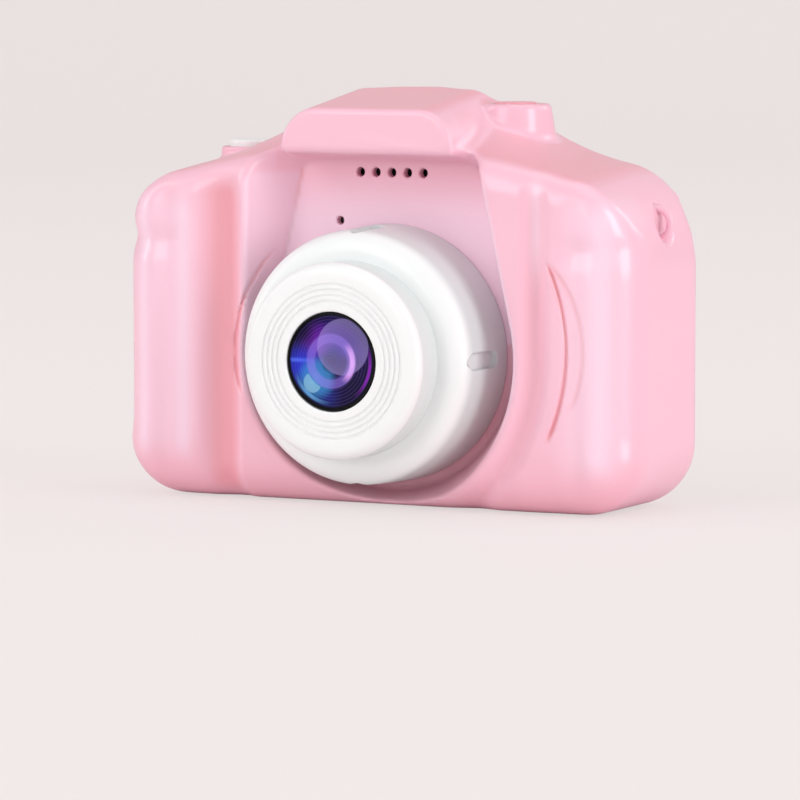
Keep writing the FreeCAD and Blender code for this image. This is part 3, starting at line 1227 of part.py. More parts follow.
def board_screws():
    """The screws that hold the main board to its posts."""
    length = SMALL_SCREW_LENGTH
    return Part.makeCompound([screw(x, z, BOARD_REAR_Y, length) for x, z in board_screw_places()])


def lens_screws():
    """The screws that hold the lens, driven from inside the front shell."""
    length = SMALL_SCREW_LENGTH + WALL - 0.4
    return Part.makeCompound([screw(x, z, PANEL_INNER_Y, length) for x, z in lens_screw_places()])


# ======== output ========
SINGLE_PIECES = [
    front_shell, rear_shell, lens_base_ring, lens_barrel, lens_bezel, lens_window, lens_shade, lens_cell,
    lens_element, sensor_holder, module_carrier, sensor_board, sensor_flex, main_board, main_processor,
    memory_chip, usb_socket, card_socket, reset_switch, shutter_switch, power_switch, key_switches,
    shutter_button, shutter_plunger, power_button, power_plunger, screen_window, window_adhesive, lcd_panel,
    lcd_frame, lcd_flex, battery_pack, battery_pad, battery_leads, speaker, speaker_gasket, speaker_leads,
    microphone, microphone_boot, microphone_leads, shell_screws, board_screws, lens_screws,
]


def nodes():
    """Every piece by name."""
    pieces = {piece.__name__: piece() for piece in SINGLE_PIECES}
    for name in KEYS:
        pieces[name] = rear_key(name)
        pieces[name.replace("_key", "_plunger")] = key_plunger(name)
    return pieces


def main():
    """Writes one STEP file for each piece."""
    os.makedirs("parts", exist_ok=True)
    for name, shape in nodes().items():
        clean = shape.removeSplitter() if shape.ShapeType != "Compound" else shape
        clean.exportStep(f"parts/{name}.step")


main()
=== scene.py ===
"""The kids digital camera: moulded shells, lens, buttons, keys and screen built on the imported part."""
import math

import bmesh
import bpy
import numpy as np
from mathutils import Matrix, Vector


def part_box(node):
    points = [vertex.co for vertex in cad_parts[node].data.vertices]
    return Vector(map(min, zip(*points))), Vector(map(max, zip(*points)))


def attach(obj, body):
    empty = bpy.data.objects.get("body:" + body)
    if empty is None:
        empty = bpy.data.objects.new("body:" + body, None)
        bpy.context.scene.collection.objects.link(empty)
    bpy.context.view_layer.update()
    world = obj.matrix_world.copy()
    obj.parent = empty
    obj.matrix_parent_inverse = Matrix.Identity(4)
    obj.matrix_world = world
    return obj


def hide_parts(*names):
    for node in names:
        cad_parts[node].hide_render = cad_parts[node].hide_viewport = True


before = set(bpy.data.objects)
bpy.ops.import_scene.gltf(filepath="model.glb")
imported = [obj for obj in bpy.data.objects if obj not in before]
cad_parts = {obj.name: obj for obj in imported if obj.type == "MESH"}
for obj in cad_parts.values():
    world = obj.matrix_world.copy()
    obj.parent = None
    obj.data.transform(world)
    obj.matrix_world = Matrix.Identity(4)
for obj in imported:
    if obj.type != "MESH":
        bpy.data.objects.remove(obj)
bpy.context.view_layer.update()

MM = 0.001


def node_box(name):
    """Lowest and highest corner of a CAD node in millimetres."""
    low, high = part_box(name)
    return np.array(low) / MM, np.array(high) / MM


# ======== sizes, in millimetres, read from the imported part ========
front_low, front_high = node_box("front_shell")
rear_low, rear_high = node_box("rear_shell")
base_low, base_high = node_box("lens_base_ring")
barrel_low, barrel_high = node_box("lens_barrel")
window_low, window_high = node_box("lens_window")
bezel_low, bezel_high = node_box("lens_bezel")
shutter_low, shutter_high = node_box("shutter_button")
power_low, power_high = node_box("power_button")
ok_low, ok_high = node_box("ok_key")
mode_low, mode_high = node_box("mode_key")
playback_low, playback_high = node_box("playback_key")
screen_low, screen_high = node_box("screen_window")
usb_low, usb_high = node_box("usb_socket")
card_low, card_high = node_box("card_socket")
reset_low, reset_high = node_box("reset_switch")
screws_low, screws_high = node_box("shell_screws")

HALF_WIDTH = -front_low[0]
TOP_Z = front_high[2]
FRONT_Y = -14.0
REAR_Y = rear_high[1]
SEAM_Y = front_high[1]
PANEL_Y = base_high[1]
LENS_Z = (base_low[2] + base_high[2]) / 2
BASE_RADIUS = (base_high[0] - base_low[0]) / 2
BASE_FRONT_Y = base_low[1]
BARREL_RADIUS = 14.2
LENS_FRONT_Y = barrel_low[1]
SHUTTER_X = (shutter_low[0] + shutter_high[0]) / 2
SHUTTER_RADIUS = 3.6
POWER_X = (power_low[0] + power_high[0]) / 2
POWER_RADIUS = 3.0
BUTTON_Y = (shutter_low[1] + shutter_high[1]) / 2
KEYPAD_X = (ok_low[0] + ok_high[0]) / 2
KEYPAD_Z = (ok_low[2] + ok_high[2]) / 2
KEY_GAP = 0.2
WALL = 1.7
CAD_WALL = 1.8

COLLAR_RADIUS = 4.85
COLLAR_TOP = shutter_high[2] - 1.05
BOSS_RADIUS = 6.5
BOSS_TOP = 58.38
CAP_FLANGE = 0.6
FLANGE_THICKNESS = 0.8
KEY_FOOT_Y = REAR_Y - CAD_WALL - KEY_GAP - FLANGE_THICKNESS
KEY_RING_RADIUS = 7.8
KEY_RING_HALF = 2.4
OK_RADIUS = 3.6
ROUND_KEY_RADIUS = 3.0
MARK_DEPTH = 0.32

SPEAKER_Z = 48.3
SPEAKER_STEP = 2.57
SPEAKER_RADIUS = 0.66
MICROPHONE_X, MICROPHONE_Z = -8.5, 41.1
MICROPHONE_RADIUS = 0.6
STRAP_X = front_high[0] - 2.9
STRAP_Y, STRAP_Z = 0.6, 41.5
STRAP_RADIUS = 2.3
STRAP_WIRE_RADIUS = 0.6
SOCKET_GAP = 0.25
RESET_RADIUS = 0.8
SCREW_HEAD_RADIUS = 1.8
SCREW_BORE_RADIUS = 2.2
SCREW_POST_RADIUS = 3.1
SCREEN_POCKET_Y = 12.85
DISPLAY_HALF = (21.0, 15.75)

CHANNEL_LEAN = math.radians(12.5)
CHANNEL_TOP_Z = 50.0
HOOD_HALF_WIDTH = 14.3
HOOD_FOOT_Z = 51.2
HOOD_TOP_Z = 57.8
HOOD_RAMP = 0.149
GLASS_RADIUS = 6.83


# ======== distance helpers ========
def smooth_step(value, start, end):
    t = np.clip((value - start) / (end - start), 0.0, 1.0)
    return t * t * (3.0 - 2.0 * t)


def soft_min(a, b, size):
    h = np.clip(0.5 + 0.5 * (b - a) / size, 0.0, 1.0)
    return b * (1.0 - h) + a * h - size * h * (1.0 - h)


def soft_max(a, b, size):
    return -soft_min(-a, -b, size)


def round_max(a, b, radius):
    """Both conditions, with the edge between them rounded to a radius."""
    u = np.maximum(a + radius, 0.0)
    v = np.maximum(b + radius, 0.0)
    return np.minimum(np.maximum(a, b), -radius) + np.sqrt(u * u + v * v)


def bump(value, middle, width):
    return np.exp(-((value - middle) / width) ** 2)


def round_box(dx, dz, half_x, half_z, radius):
    qx = np.abs(dx) - half_x + radius
    qz = np.abs(dz) - half_z + radius
    outside = np.sqrt(np.maximum(qx, 0.0) ** 2 + np.maximum(qz, 0.0) ** 2)
    return outside + np.minimum(np.maximum(qx, qz), 0.0) - radius

def from_lens(x, z):
    return np.hypot(x, z - LENS_Z)


def from_shutter(x, y):
    return np.hypot(x - SHUTTER_X, y - BUTTON_Y)


def from_power(x, y):
    return np.hypot(x - POWER_X, y - BUTTON_Y)


def from_microphone(x, z):
    return np.hypot(x - MICROPHONE_X, z - MICROPHONE_Z)


def screen_outline(x, z, grow_x, grow_z, radius):
    """Below zero inside the outline of the screen made larger by a margin each way."""
    middle = (screen_low + screen_high) / 2
    half = (screen_high - screen_low) / 2
    return round_box(x - middle[0], z - middle[2], half[0] + grow_x, half[2] + grow_z, radius)


def socket_outline(x, y, low, high, radius):
    """Below zero inside the outline of the opening for a socket that has this box."""
    middle = (low + high) / 2
    half = (high - low) / 2 + SOCKET_GAP
    return round_box(x - middle[0], y - middle[1], half[0], half[1], radius)


def arc_groove(x, z, cx, cz, radius, z_low, z_high, width):
    """One at the middle of a thin line along an arc, falling to zero beside it and at its ends."""
    r = np.hypot(x - cx, z - cz)
    ends = smooth_step(z, z_low, z_low + 2.5) * (1.0 - smooth_step(z, z_high - 2.5, z_high))
    return bump(r, radius, width) * ends


# ======== the moulded body ========
CRESCENTS = [
    # side, centre x, centre z, radius, lowest z, highest z, depth, half width
    (1, 1.96, 23.5, 30.0, 10.0, 37.0, 0.42, 0.30),
    (1, 16.45, 23.57, 18.1, 14.5, 37.0, 0.16, 0.34),
]


def crescent_depth(x, z):
    """Depth of the two crescent grooves beside the lens."""
    total = np.zeros_like(x)
    for side, cx, cz, radius, z_low, z_high, depth, width in CRESCENTS:
        on_side = x > 0 if side > 0 else x < 0
        groove = arc_groove(x, z, cx, cz, radius, z_low, z_high, width)
        total = np.maximum(total, np.where(on_side, groove, 0) * depth)
    return total


def left_arc(x, y, z):
    """The thin line beside the lens on the left, which runs on over the channel's wall."""
    ahead = y - FRONT_Y
    depth = arc_groove(x + 0.51 * ahead, z + 0.103 * ahead, 0.0, 22.0, 21.4, 15.0, 37.8, 0.26)
    return np.where((x < 0) & (y < PANEL_Y - 0.6), depth, 0.0)


def side_reach(z, right_cap):
    """Half width of the body at a height, with the soft notch under the shoulder cap."""
    return HALF_WIDTH - 0.02 - 0.42 * bump(z, 38.7, 1.9) - right_cap * smooth_step(z, 38.0, 42.5)


def valley_share(x, z):
    """One in the finger groove of each grip, zero on its ridges."""
    u = np.abs(x)
    low = np.minimum(z - LENS_Z, 0.0)
    round_lens = np.hypot(x, low)
    s = np.where(x > 0, round_lens, u)
    inner = np.where(x > 0, 24.6, 20.4)
    outer = np.where(x > 0, 29.4, 28.2)
    fades_in = smooth_step(s, inner - 0.4, inner + 2.4)
    fades_out = 1.0 - smooth_step(s, outer - np.where(x > 0, 2.6, 4.4), outer + 0.3)
    across = fades_in * fades_out
    return across * (1.0 - smooth_step(z, 44.5, 49.0))


def grip_front(x, z):
    """Y of the front of the grips."""
    u = np.abs(x)
    high = 1.0 - smooth_step(z, 44.0, 48.5)
    y = FRONT_Y + 1.15 * valley_share(x, z)
    y = y + 0.30 * bump(u, 33.4, 1.9) * high
    y = y - 0.30 * np.where(x > 0, bump(u, 27.2, 1.0), 0.0) * smooth_step(z, 32.0, 38.0) * high
    y = y + 0.65 * bump(z, 38.0, 1.9) * smooth_step(u, 29.0, 33.0)
    y = y + 0.35 * (1.0 - smooth_step(z, 4.0, 9.0)) * smooth_step(u, 24.0, 30.0)
    return y + crescent_depth(x, z)


def channel(x, y, z):
    """Above zero inside the channel behind the lens."""
    u = np.abs(x)
    ring = BASE_RADIUS + 1.2 + 0.1 * np.tanh(x / 5)
    sine, cosine = math.sin(CHANNEL_LEAN), math.cos(CHANNEL_LEAN)
    height = z - LENS_Z
    around = np.hypot(x, height) - ring
    straight = u * cosine + height * sine - ring
    side = np.where(height * cosine > u * sine, straight, around)
    foot = (ring - height * sine) / cosine
    left_slope = np.clip((19.85 - foot) / 8.5, 0.04, 1.0)
    slope = left_slope + (0.42 - left_slope) * smooth_step(x, -12.0, 12.0)
    side = soft_max(side, z - CHANNEL_TOP_Z, 3.0)
    depth = PANEL_Y - y
    wall = (slope * depth - side) / np.sqrt(1 + slope ** 2)
    return soft_min(depth, wall, 0.7 - 0.3 * smooth_step(-x, 4.0, 12.0))


def hood(x, y, z):
    """The hood over the channel, whose top climbs a little to the rear."""
    level = z - (y - FRONT_Y) * HOOD_RAMP
    u = np.abs(x)
    side = (u - HOOD_HALF_WIDTH + (level - 51.0) * 0.20) / math.sqrt(1 + 0.2 ** 2)
    form = round_max(side, level - HOOD_TOP_Z, 4.6)
    form = round_max(form, FRONT_Y + 0.02 - y, 0.8)
    form = round_max(form, HOOD_FOOT_Z - z, 1.2)
    return soft_max(form, y - 4.5, 2.0)


def button_seats(x, y, z):
    """The collar round the shutter button and the dial boss round the power button."""
    collar = round_max(from_shutter(x, y) - COLLAR_RADIUS, z - COLLAR_TOP, 0.45)
    boss = from_power(x, y) - BOSS_RADIUS + (z - 49.5) * 0.168
    boss = round_max(boss * 0.986, z - BOSS_TOP, 0.7)
    return np.maximum(collar, 44.0 - z), np.maximum(boss, 44.0 - z)


def outer_form(x, y, z):
    """The solid outer form of both shells together, below zero inside."""
    u = np.abs(x)
    ramp = 0.10 * np.log1p(np.exp(np.clip((3.5 - y) / 1.2, -30, 30))) * 1.2
    reach = side_reach(z, 0.2 + 0.95 * smooth_step(x, 5.0, 25.0))
    front_radius = 8.0 - 4.2 * smooth_step(z, 38.0, 46.0) - 2.0 * (1.0 - smooth_step(z, 4.0, 12.0))
    grips = round_max(u - reach, -z, 9.3)
    shoulder = (u - 42.0) * 0.172 + (z + ramp - 48.0) * 0.985
    grips = round_max(grips, shoulder, 9.0)
    grips = round_max(grips, grip_front(x, z) - y, front_radius)
    hump = round_max((u - 22.3) * 0.604 + (z - 51.4) * 0.797, z - TOP_Z + 0.05, 6.0)
    hump = round_max(hump, 44.0 - z, 1.0)
    hump_front = -8.5 + 1.05 * (np.maximum(z, 49.2) - 50.2)
    hump = round_max(hump, (hump_front - y) * 0.69, 3.0)
    form = soft_min(grips, hump, 5.0)
    form = soft_max(form, channel(x, y, z), 0.9)
    form = form + 0.32 * left_arc(x, y, z)
    form = soft_min(form, hood(x, y, z), 2.2)
    form = round_max(form, y - REAR_Y + 0.02, 6.0)
    collar, boss = button_seats(x, y, z)
    form = soft_min(form, collar, 0.7)
    form = soft_min(form, boss, 1.0)
    dish = np.sqrt((x - 43.2) ** 2 + (y - STRAP_Y) ** 2 + (z - STRAP_Z) ** 2) - 3.4
    return soft_max(form, -dish, 0.4)


def hole_form(x, y, z):
    """Below zero inside every opening of the shells."""
    holes = []
    for index in range(5):
        holes.append(np.hypot(x - (index - 2) * SPEAKER_STEP, z - SPEAKER_Z) - SPEAKER_RADIUS)
    holes.append(from_microphone(x, z) - MICROPHONE_RADIUS)
    sound = np.maximum(np.minimum.reduce(holes), y + 1.0)
    shutter = np.maximum(from_shutter(x, y) - SHUTTER_RADIUS - KEY_GAP, 46.0 - z)
    power = np.maximum(from_power(x, y) - POWER_RADIUS - KEY_GAP, 50.0 - z)
    usb = socket_outline(x, y, usb_low, usb_high, 0.8)
    card = socket_outline(x, y, card_low, card_high, 0.5)
    reset = np.hypot(x - (reset_low[0] + reset_high[0]) / 2, y - BUTTON_Y) - RESET_RADIUS
    under = np.maximum(np.minimum.reduce([usb, card, reset]), z - 3.5)
    return np.minimum.reduce([sound, shutter, power, under])


def strap_ring(x, y, z):
    around = np.hypot(x - STRAP_X, z - STRAP_Z) - STRAP_RADIUS
    return np.hypot(around, y - STRAP_Y) - STRAP_WIRE_RADIUS


def key_outline(x, z, grow):
    """Below zero inside the outline of any rear key made larger by grow."""
    dx, dz = x - KEYPAD_X, z - KEYPAD_Z
    r = np.hypot(dx, dz)
    ring = np.abs(r - KEY_RING_RADIUS) - KEY_RING_HALF
    gap = 1.0 - np.abs(np.abs(dx) - np.abs(dz)) * math.sqrt(0.5)
    outlines = [round_max(ring, gap, 0.35) - grow, r - OK_RADIUS - grow]
    for low, high in ((mode_low, mode_high), (playback_low, playback_high)):
        cx, cz = (low[0] + high[0]) / 2, (low[2] + high[2]) / 2
        outlines.append(np.hypot(x - cx, z - cz) - ROUND_KEY_RADIUS - grow)
    return np.minimum.reduce(outlines)


def hollow(form):
    """The wall that is left of a solid form."""
    return soft_max(form, -(form + WALL), 0.3)


def front_shell_form(x, y, z):
    skin = hollow(outer_form(x, y, z))
    skin = soft_max(skin, -hole_form(x, y, z), 0.35)
    skin = np.minimum(skin, np.maximum(strap_ring(x, y, z), 38.9 - x))
    return round_max(skin, y - SEAM_Y + 0.06, 0.25)


def rear_shell_form(x, y, z):
    skin = hollow(outer_form(x, y, z))
    screw_x = (screws_high[0] - screws_low[0]) / 2 - SCREW_HEAD_RADIUS
    screw_low_z, screw_high_z = screws_low[2] + SCREW_HEAD_RADIUS, screws_high[2] - SCREW_HEAD_RADIUS
    sideways = np.abs(x) - screw_x
    reach = np.minimum(np.hypot(sideways, z - screw_low_z), np.hypot(sideways, z - screw_high_z))
    post = np.maximum(reach - SCREW_POST_RADIUS, y - 13.0)
    skin = np.minimum(skin, post)
    pocket = np.maximum(screen_outline(x, z, 0.12, 0.12, 3.0), SCREEN_POCKET_Y - y)
    sight = screen_outline(x, z, -2.5, -2.25, 1.0)
    skin = soft_max(skin, -pocket, 0.3)
    skin = np.maximum(skin, -sight)
    skin = soft_max(skin, -key_outline(x, z, KEY_GAP), 0.3)
    skin = soft_max(skin, -(reach - SCREW_BORE_RADIUS), 0.3)
    return round_max(skin, SEAM_Y + 0.04 - y, 0.25)


# ======== meshing ========
def surface_mesh(form, low, high, step, fine=(), smooth_steps=4):
    """Points and faces on the zero level of a form, split finer where a mask says so."""
    axes = [np.arange(low[i], high[i] + step, step) for i in range(3)]
    grid = np.meshgrid(*axes, indexing="ij")
    values = np.empty(grid[0].shape)
    for i in range(0, len(axes[0]), 16):
        part = (slice(i, i + 16),)
        values[part] = form(grid[0][part], grid[1][part], grid[2][part])
    inside = values < 0
    total = np.zeros(tuple(n - 1 for n in values.shape), np.int8)
    corners = [(a, b, c) for a in (0, 1) for b in (0, 1) for c in (0, 1)]
    shape = total.shape
    for a, b, c in corners:
        total += inside[a:a + shape[0], b:b + shape[1], c:c + shape[2]]
    cells = np.argwhere((total > 0) & (total < 8))
    number = np.full(shape, -1, np.int64)
    number[tuple(cells.T)] = np.arange(len(cells))
    sums = np.zeros((len(cells), 3))
    hits = np.zeros(len(cells))
    for axis in range(3):
        others = [i for i in range(3) if i != axis]
        for p in (0, 1):
            for q in (0, 1):
                start = np.zeros(3, int)
                start[others[0]], start[others[1]] = p, q
                end = start.copy()
                end[axis] = 1
                v0 = values[tuple((cells + start).T)]
                v1 = values[tuple((cells + end).T)]
                cross = (v0 < 0) != (v1 < 0)
                t = np.where(cross, v0 / np.where(cross, v0 - v1, 1.0), 0.0)
                place = cells + start + np.outer(t, np.eye(3)[axis])
                sums += np.where(cross[:, None], place, 0.0)
                hits += cross
    points = np.array(low) + step * sums / hits[:, None]
    faces = []
    for axis in range(3):
        u, v = [(1, 2), (2, 0), (0, 1)][axis]
        cut = [slice(1, -1)] * 3
        cut[axis] = slice(0, -1)
        ahead = list(cut)
        ahead[axis] = slice(1, None)
        first = inside[tuple(cut)]
        second = inside[tuple(ahead)]
        edges = np.argwhere(first != second)
        offset = np.ones(3, int)
        offset[axis] = 0
        goes_out = first[tuple(edges.T)]
        edges = edges + offset
        quad = []
        for du, dv in ((-1, -1), (0, -1), (0, 0), (-1, 0)):
            cell = edges.copy()
            cell[:, u] += du
            cell[:, v] += dv
            quad.append(number[tuple(cell.T)])
        quad = np.stack(quad, 1)
        quad[~goes_out] = quad[~goes_out][:, ::-1]
        faces.append(quad)
    faces = np.concatenate(faces).tolist()
    points = settle(form, points, step, smooth_steps)
    for mask in fine:
        points, faces = refine(points, faces, mask)
        step = step / 2
        points = settle(form, points, step, smooth_steps)
    return points, faces


def slope_of(form, points, reach):
    slope = np.empty_like(points)
    for axis in range(3):
        shift = np.zeros(3)
        shift[axis] = reach
        ahead, behind = (points + shift).T, (points - shift).T
        slope[:, axis] = (form(*ahead) - form(*behind)) / (2 * reach)
    return slope


def unit_slope(form, points):
    slope = slope_of(form, points, 0.06)
    return slope / np.maximum(np.linalg.norm(slope, axis=1, keepdims=True), 1e-9)


def settle(form, points, step, rounds):
    """Moves points on to the zero level along the slope of the form."""
    reach = 0.03
    for _ in range(rounds):
        level = form(*points.T)
        slope = slope_of(form, points, reach)
        size = np.maximum((slope * slope).sum(1), 0.05)
        move = -(level / size)[:, None] * slope
        length = np.linalg.norm(move, axis=1, keepdims=True)
        points = points + move * np.minimum(1.0, 0.4 * step / np.maximum(length, 1e-9))
    return points


def refine(points, faces, mask):
    """Splits the edges, and with them the faces, near a fine feature."""
    mesh = bpy.data.meshes.new("refining")
    mesh.from_pydata(points.tolist(), [], faces)
    bm = bmesh.new()
    bm.from_mesh(mesh)
    bpy.data.meshes.remove(mesh)
    near = mask(*points.T)
    bm.verts.ensure_lookup_table()
    edges = [e for e in bm.edges if near[e.verts[0].index] and near[e.verts[1].index]]
    bmesh.ops.subdivide_edges(bm, edges=edges, cuts=1, use_grid_fill=True)
    bm.verts.ensure_lookup_table()
    bm.verts.index_update()
    made = np.array([v.co[:] for v in bm.verts], float)
    polygons = [[v.index for v in f.verts] for f in bm.faces]
    bm.free()
    return made, polygons


def add_mesh(name, points, faces, form=None):
    """A mesh object in metres, smooth shaded, with normals from the form where it is given."""
    mesh = bpy.data.meshes.new(name)
    mesh.from_pydata((np.asarray(points) * MM).tolist(), [], faces)
    mesh.validate()
    mesh.shade_smooth()
    if form is not None:
        normals = unit_slope(form, np.asarray(points))
        mesh.normals_split_custom_set_from_vertices(normals.tolist())
    obj = bpy.data.objects.new(name, mesh)
    bpy.context.scene.collection.objects.link(obj)
    return obj


def put_value(obj, name, values):
    layer = obj.data.attributes.new(name, "FLOAT", "POINT")
    layer.data.foreach_set("value", np.asarray(values, np.float32))


def rounded_profile(corners, arc_steps=6):
    """A closed outline through (a, b, radius) corners with each corner rounded."""
    line = []
    count = len(corners)
    for i in range(count):
        here = np.array(corners[i][:2], float)
        before = np.array(corners[i - 1][:2], float)
        after = np.array(corners[(i + 1) % count][:2], float)
        radius = corners[i][2]
        if radius <= 0:
            line.append(here)
            continue
        back = (before - here) / np.linalg.norm(before - here)
        ahead = (after - here) / np.linalg.norm(after - here)
        angle = math.acos(np.clip(back @ ahead, -1, 1)) / 2
        reach = radius / math.tan(angle)
        middle = here + (back + ahead) / np.linalg.norm(back + ahead) * radius / math.sin(angle)
        start, end = here + back * reach - middle, here + ahead * reach - middle
        turn = math.atan2(start[0] * end[1] - start[1] * end[0], start @ end)
        for k in range(arc_steps + 1):
            a = turn * k / arc_steps
            line.append(middle + np.array([start[0] * math.cos(a) - start[1] * math.sin(a),
                                           start[0] * math.sin(a) + start[1] * math.cos(a)]))
    return np.array(line)


def turned(name, outline, centre, axis, segments=160):
    """A ring or disc turned about an axis from a closed outline of (radius, along) points."""
    count = len(outline)
    angles = np.arange(segments) * 2 * math.pi / segments
    radius, along = outline[:, 0], outline[:, 1]
    cos, sin = np.cos(angles)[:, None], np.sin(angles)[:, None]
    if axis == "y":
        points = np.stack([centre[0] + radius * cos, np.broadcast_to(along, (segments, count)),
                           centre[1] + radius * sin], -1)
    else:
        points = np.stack([centre[0] + radius * cos, centre[1] + radius * sin,
                           np.broadcast_to(along, (segments, count))], -1)
    points = points.reshape(-1, 3)
    faces = []
    for s in range(segments):
        t = (s + 1) % segments
        for i in range(count):
            j = (i + 1) % count
            faces.append([s * count + i, s * count + j, t * count + j, t * count + i])
    obj = add_mesh(name, points, faces)
    bm = bmesh.new()
    bm.from_mesh(obj.data)
    bmesh.ops.remove_doubles(bm, verts=bm.verts, dist=1e-7)
    bmesh.ops.recalc_face_normals(bm, faces=bm.faces)
    bm.to_mesh(obj.data)
    bm.free()
    sharpen(obj, 35)
    return obj


def sharpen(obj, degrees):
    """Smooth shading, with edges sharper than an angle kept crisp."""
    bm = bmesh.new()
    bm.from_mesh(obj.data)
    limit = math.radians(degrees)
    for face in bm.faces:
        face.smooth = True
    for edge in bm.edges:
        edge.smooth = not (len(edge.link_faces) == 2 and edge.calc_face_angle(0) > limit)
    bm.to_mesh(obj.data)
    bm.free()


# ======== materials ========
def srgb(r, g, b):
    """A linear colour from the eight-bit values that it is seen as."""
    made = []
    for value in (r, g, b):
        v = value / 255
        made.append(v / 12.92 if v <= 0.04045 else ((v + 0.055) / 1.055) ** 2.4)
    return (*made, 1.0)


def new_material(name):
    """A material with an empty node tree but for a principled shader and its output."""
    material = bpy.data.materials.new(name)
    material.use_nodes = True
    nodes, links = material.node_tree.nodes, material.node_tree.links
    nodes.clear()
    out = nodes.new("ShaderNodeOutputMaterial")
    shader = nodes.new("ShaderNodeBsdfPrincipled")
    links.new(shader.outputs[0], out.inputs[0])
    return material, shader, out


def mixed(material, first, second, factor):
    """Two colours mixed; a colour or the factor is a value or the output of another node."""
    mix = material.node_tree.nodes.new("ShaderNodeMix")
    mix.data_type = "RGBA"
    for name, value in (("A", first), ("B", second), ("Factor", factor)):
        if isinstance(value, bpy.types.NodeSocket):
            material.node_tree.links.new(value, mix.inputs[name])
        else:
            mix.inputs[name].default_value = value
    return mix.outputs["Result"]


def noise_of(material, scale, detail=2.0, in_object=True):
    """Noise in the piece's own place, or in the default one."""
    nodes, links = material.node_tree.nodes, material.node_tree.links
    noise = nodes.new("ShaderNodeTexNoise")
    noise.inputs["Scale"].default_value = scale
    noise.inputs["Detail"].default_value = detail
    if in_object:
        place = nodes.new("ShaderNodeTexCoord")
        links.new(place.outputs["Object"], noise.inputs["Vector"])
    return noise.outputs["Fac"]


def painted(material, name):
    """The value that a mesh carries at its points under a name."""
    value = material.node_tree.nodes.new("ShaderNodeAttribute")
    value.attribute_name = name
    return value.outputs["Fac"]


def finish_and_painted_light_material(name, colour, second, roughness, scale, coat=0.0, specular=0.5,
                    shade_colour=None, painted_highlight_colour=None):
    """A procedural finish: two close colours mixed by noise, and a little unevenness in the gloss; where they
    are given, a painted shade colour and a painted highlight colour mixed in by values that the mesh carries
    at its points.
    """
    material, shader, out = new_material(name)
    links = material.node_tree.links
    noise = noise_of(material, scale, 3.0)
    result = mixed(material, colour, second, noise)
    # Painted shade: the colour deepens towards the shade colour.
    if shade_colour:
        result = mixed(material, result, shade_colour, painted(material, "shade"))
    # Painted highlight: the colour lightens towards the highlight colour.
    if painted_highlight_colour:
        result = mixed(material, result, painted_highlight_colour, painted(material, "painted_highlight"))
    links.new(result, shader.inputs["Base Color"])
    gloss = material.node_tree.nodes.new("ShaderNodeMapRange")
    gloss.inputs["To Min"].default_value = roughness * 0.9
    gloss.inputs["To Max"].default_value = roughness * 1.1
    links.new(noise, gloss.inputs["Value"])
    links.new(gloss.outputs["Result"], shader.inputs["Roughness"])
    shader.inputs["Coat Weight"].default_value = coat
    shader.inputs["Coat Roughness"].default_value = 0.12
    shader.inputs["Specular IOR Level"].default_value = specular
    return material


# The shell's pink, with a salmon painted shade colour and a pale painted highlight colour.
PINK = finish_and_painted_light_material("pink_shell", srgb(249, 196, 214), srgb(248, 193, 211), 0.30, 60, coat=0.25,
                       shade_colour=srgb(240, 158, 168), painted_highlight_colour=srgb(252, 222, 239))
# The barrel's white, with a grey painted shade colour for its side.
WHITE_BARREL = finish_and_painted_light_material("white_gloss_barrel", srgb(246, 248, 248), srgb(243, 245, 245), 0.32, 70,
                               coat=0.15, shade_colour=srgb(222, 229, 228))
# The ring's white, with a grey painted shade colour for its side and notches.
WHITE_BASE = finish_and_painted_light_material("white_gloss_base", srgb(245, 248, 248), srgb(242, 245, 245), 0.36, 70,
                             coat=0.1, shade_colour=srgb(196, 212, 209))
WHITE_KEYS = finish_and_painted_light_material("white_keys", srgb(244, 244, 244), srgb(240, 240, 240), 0.35, 70)
BLACK_RIM = finish_and_painted_light_material("black_gloss_rim", srgb(5, 5, 8), srgb(8, 8, 11), 0.3, 90, specular=0.15)


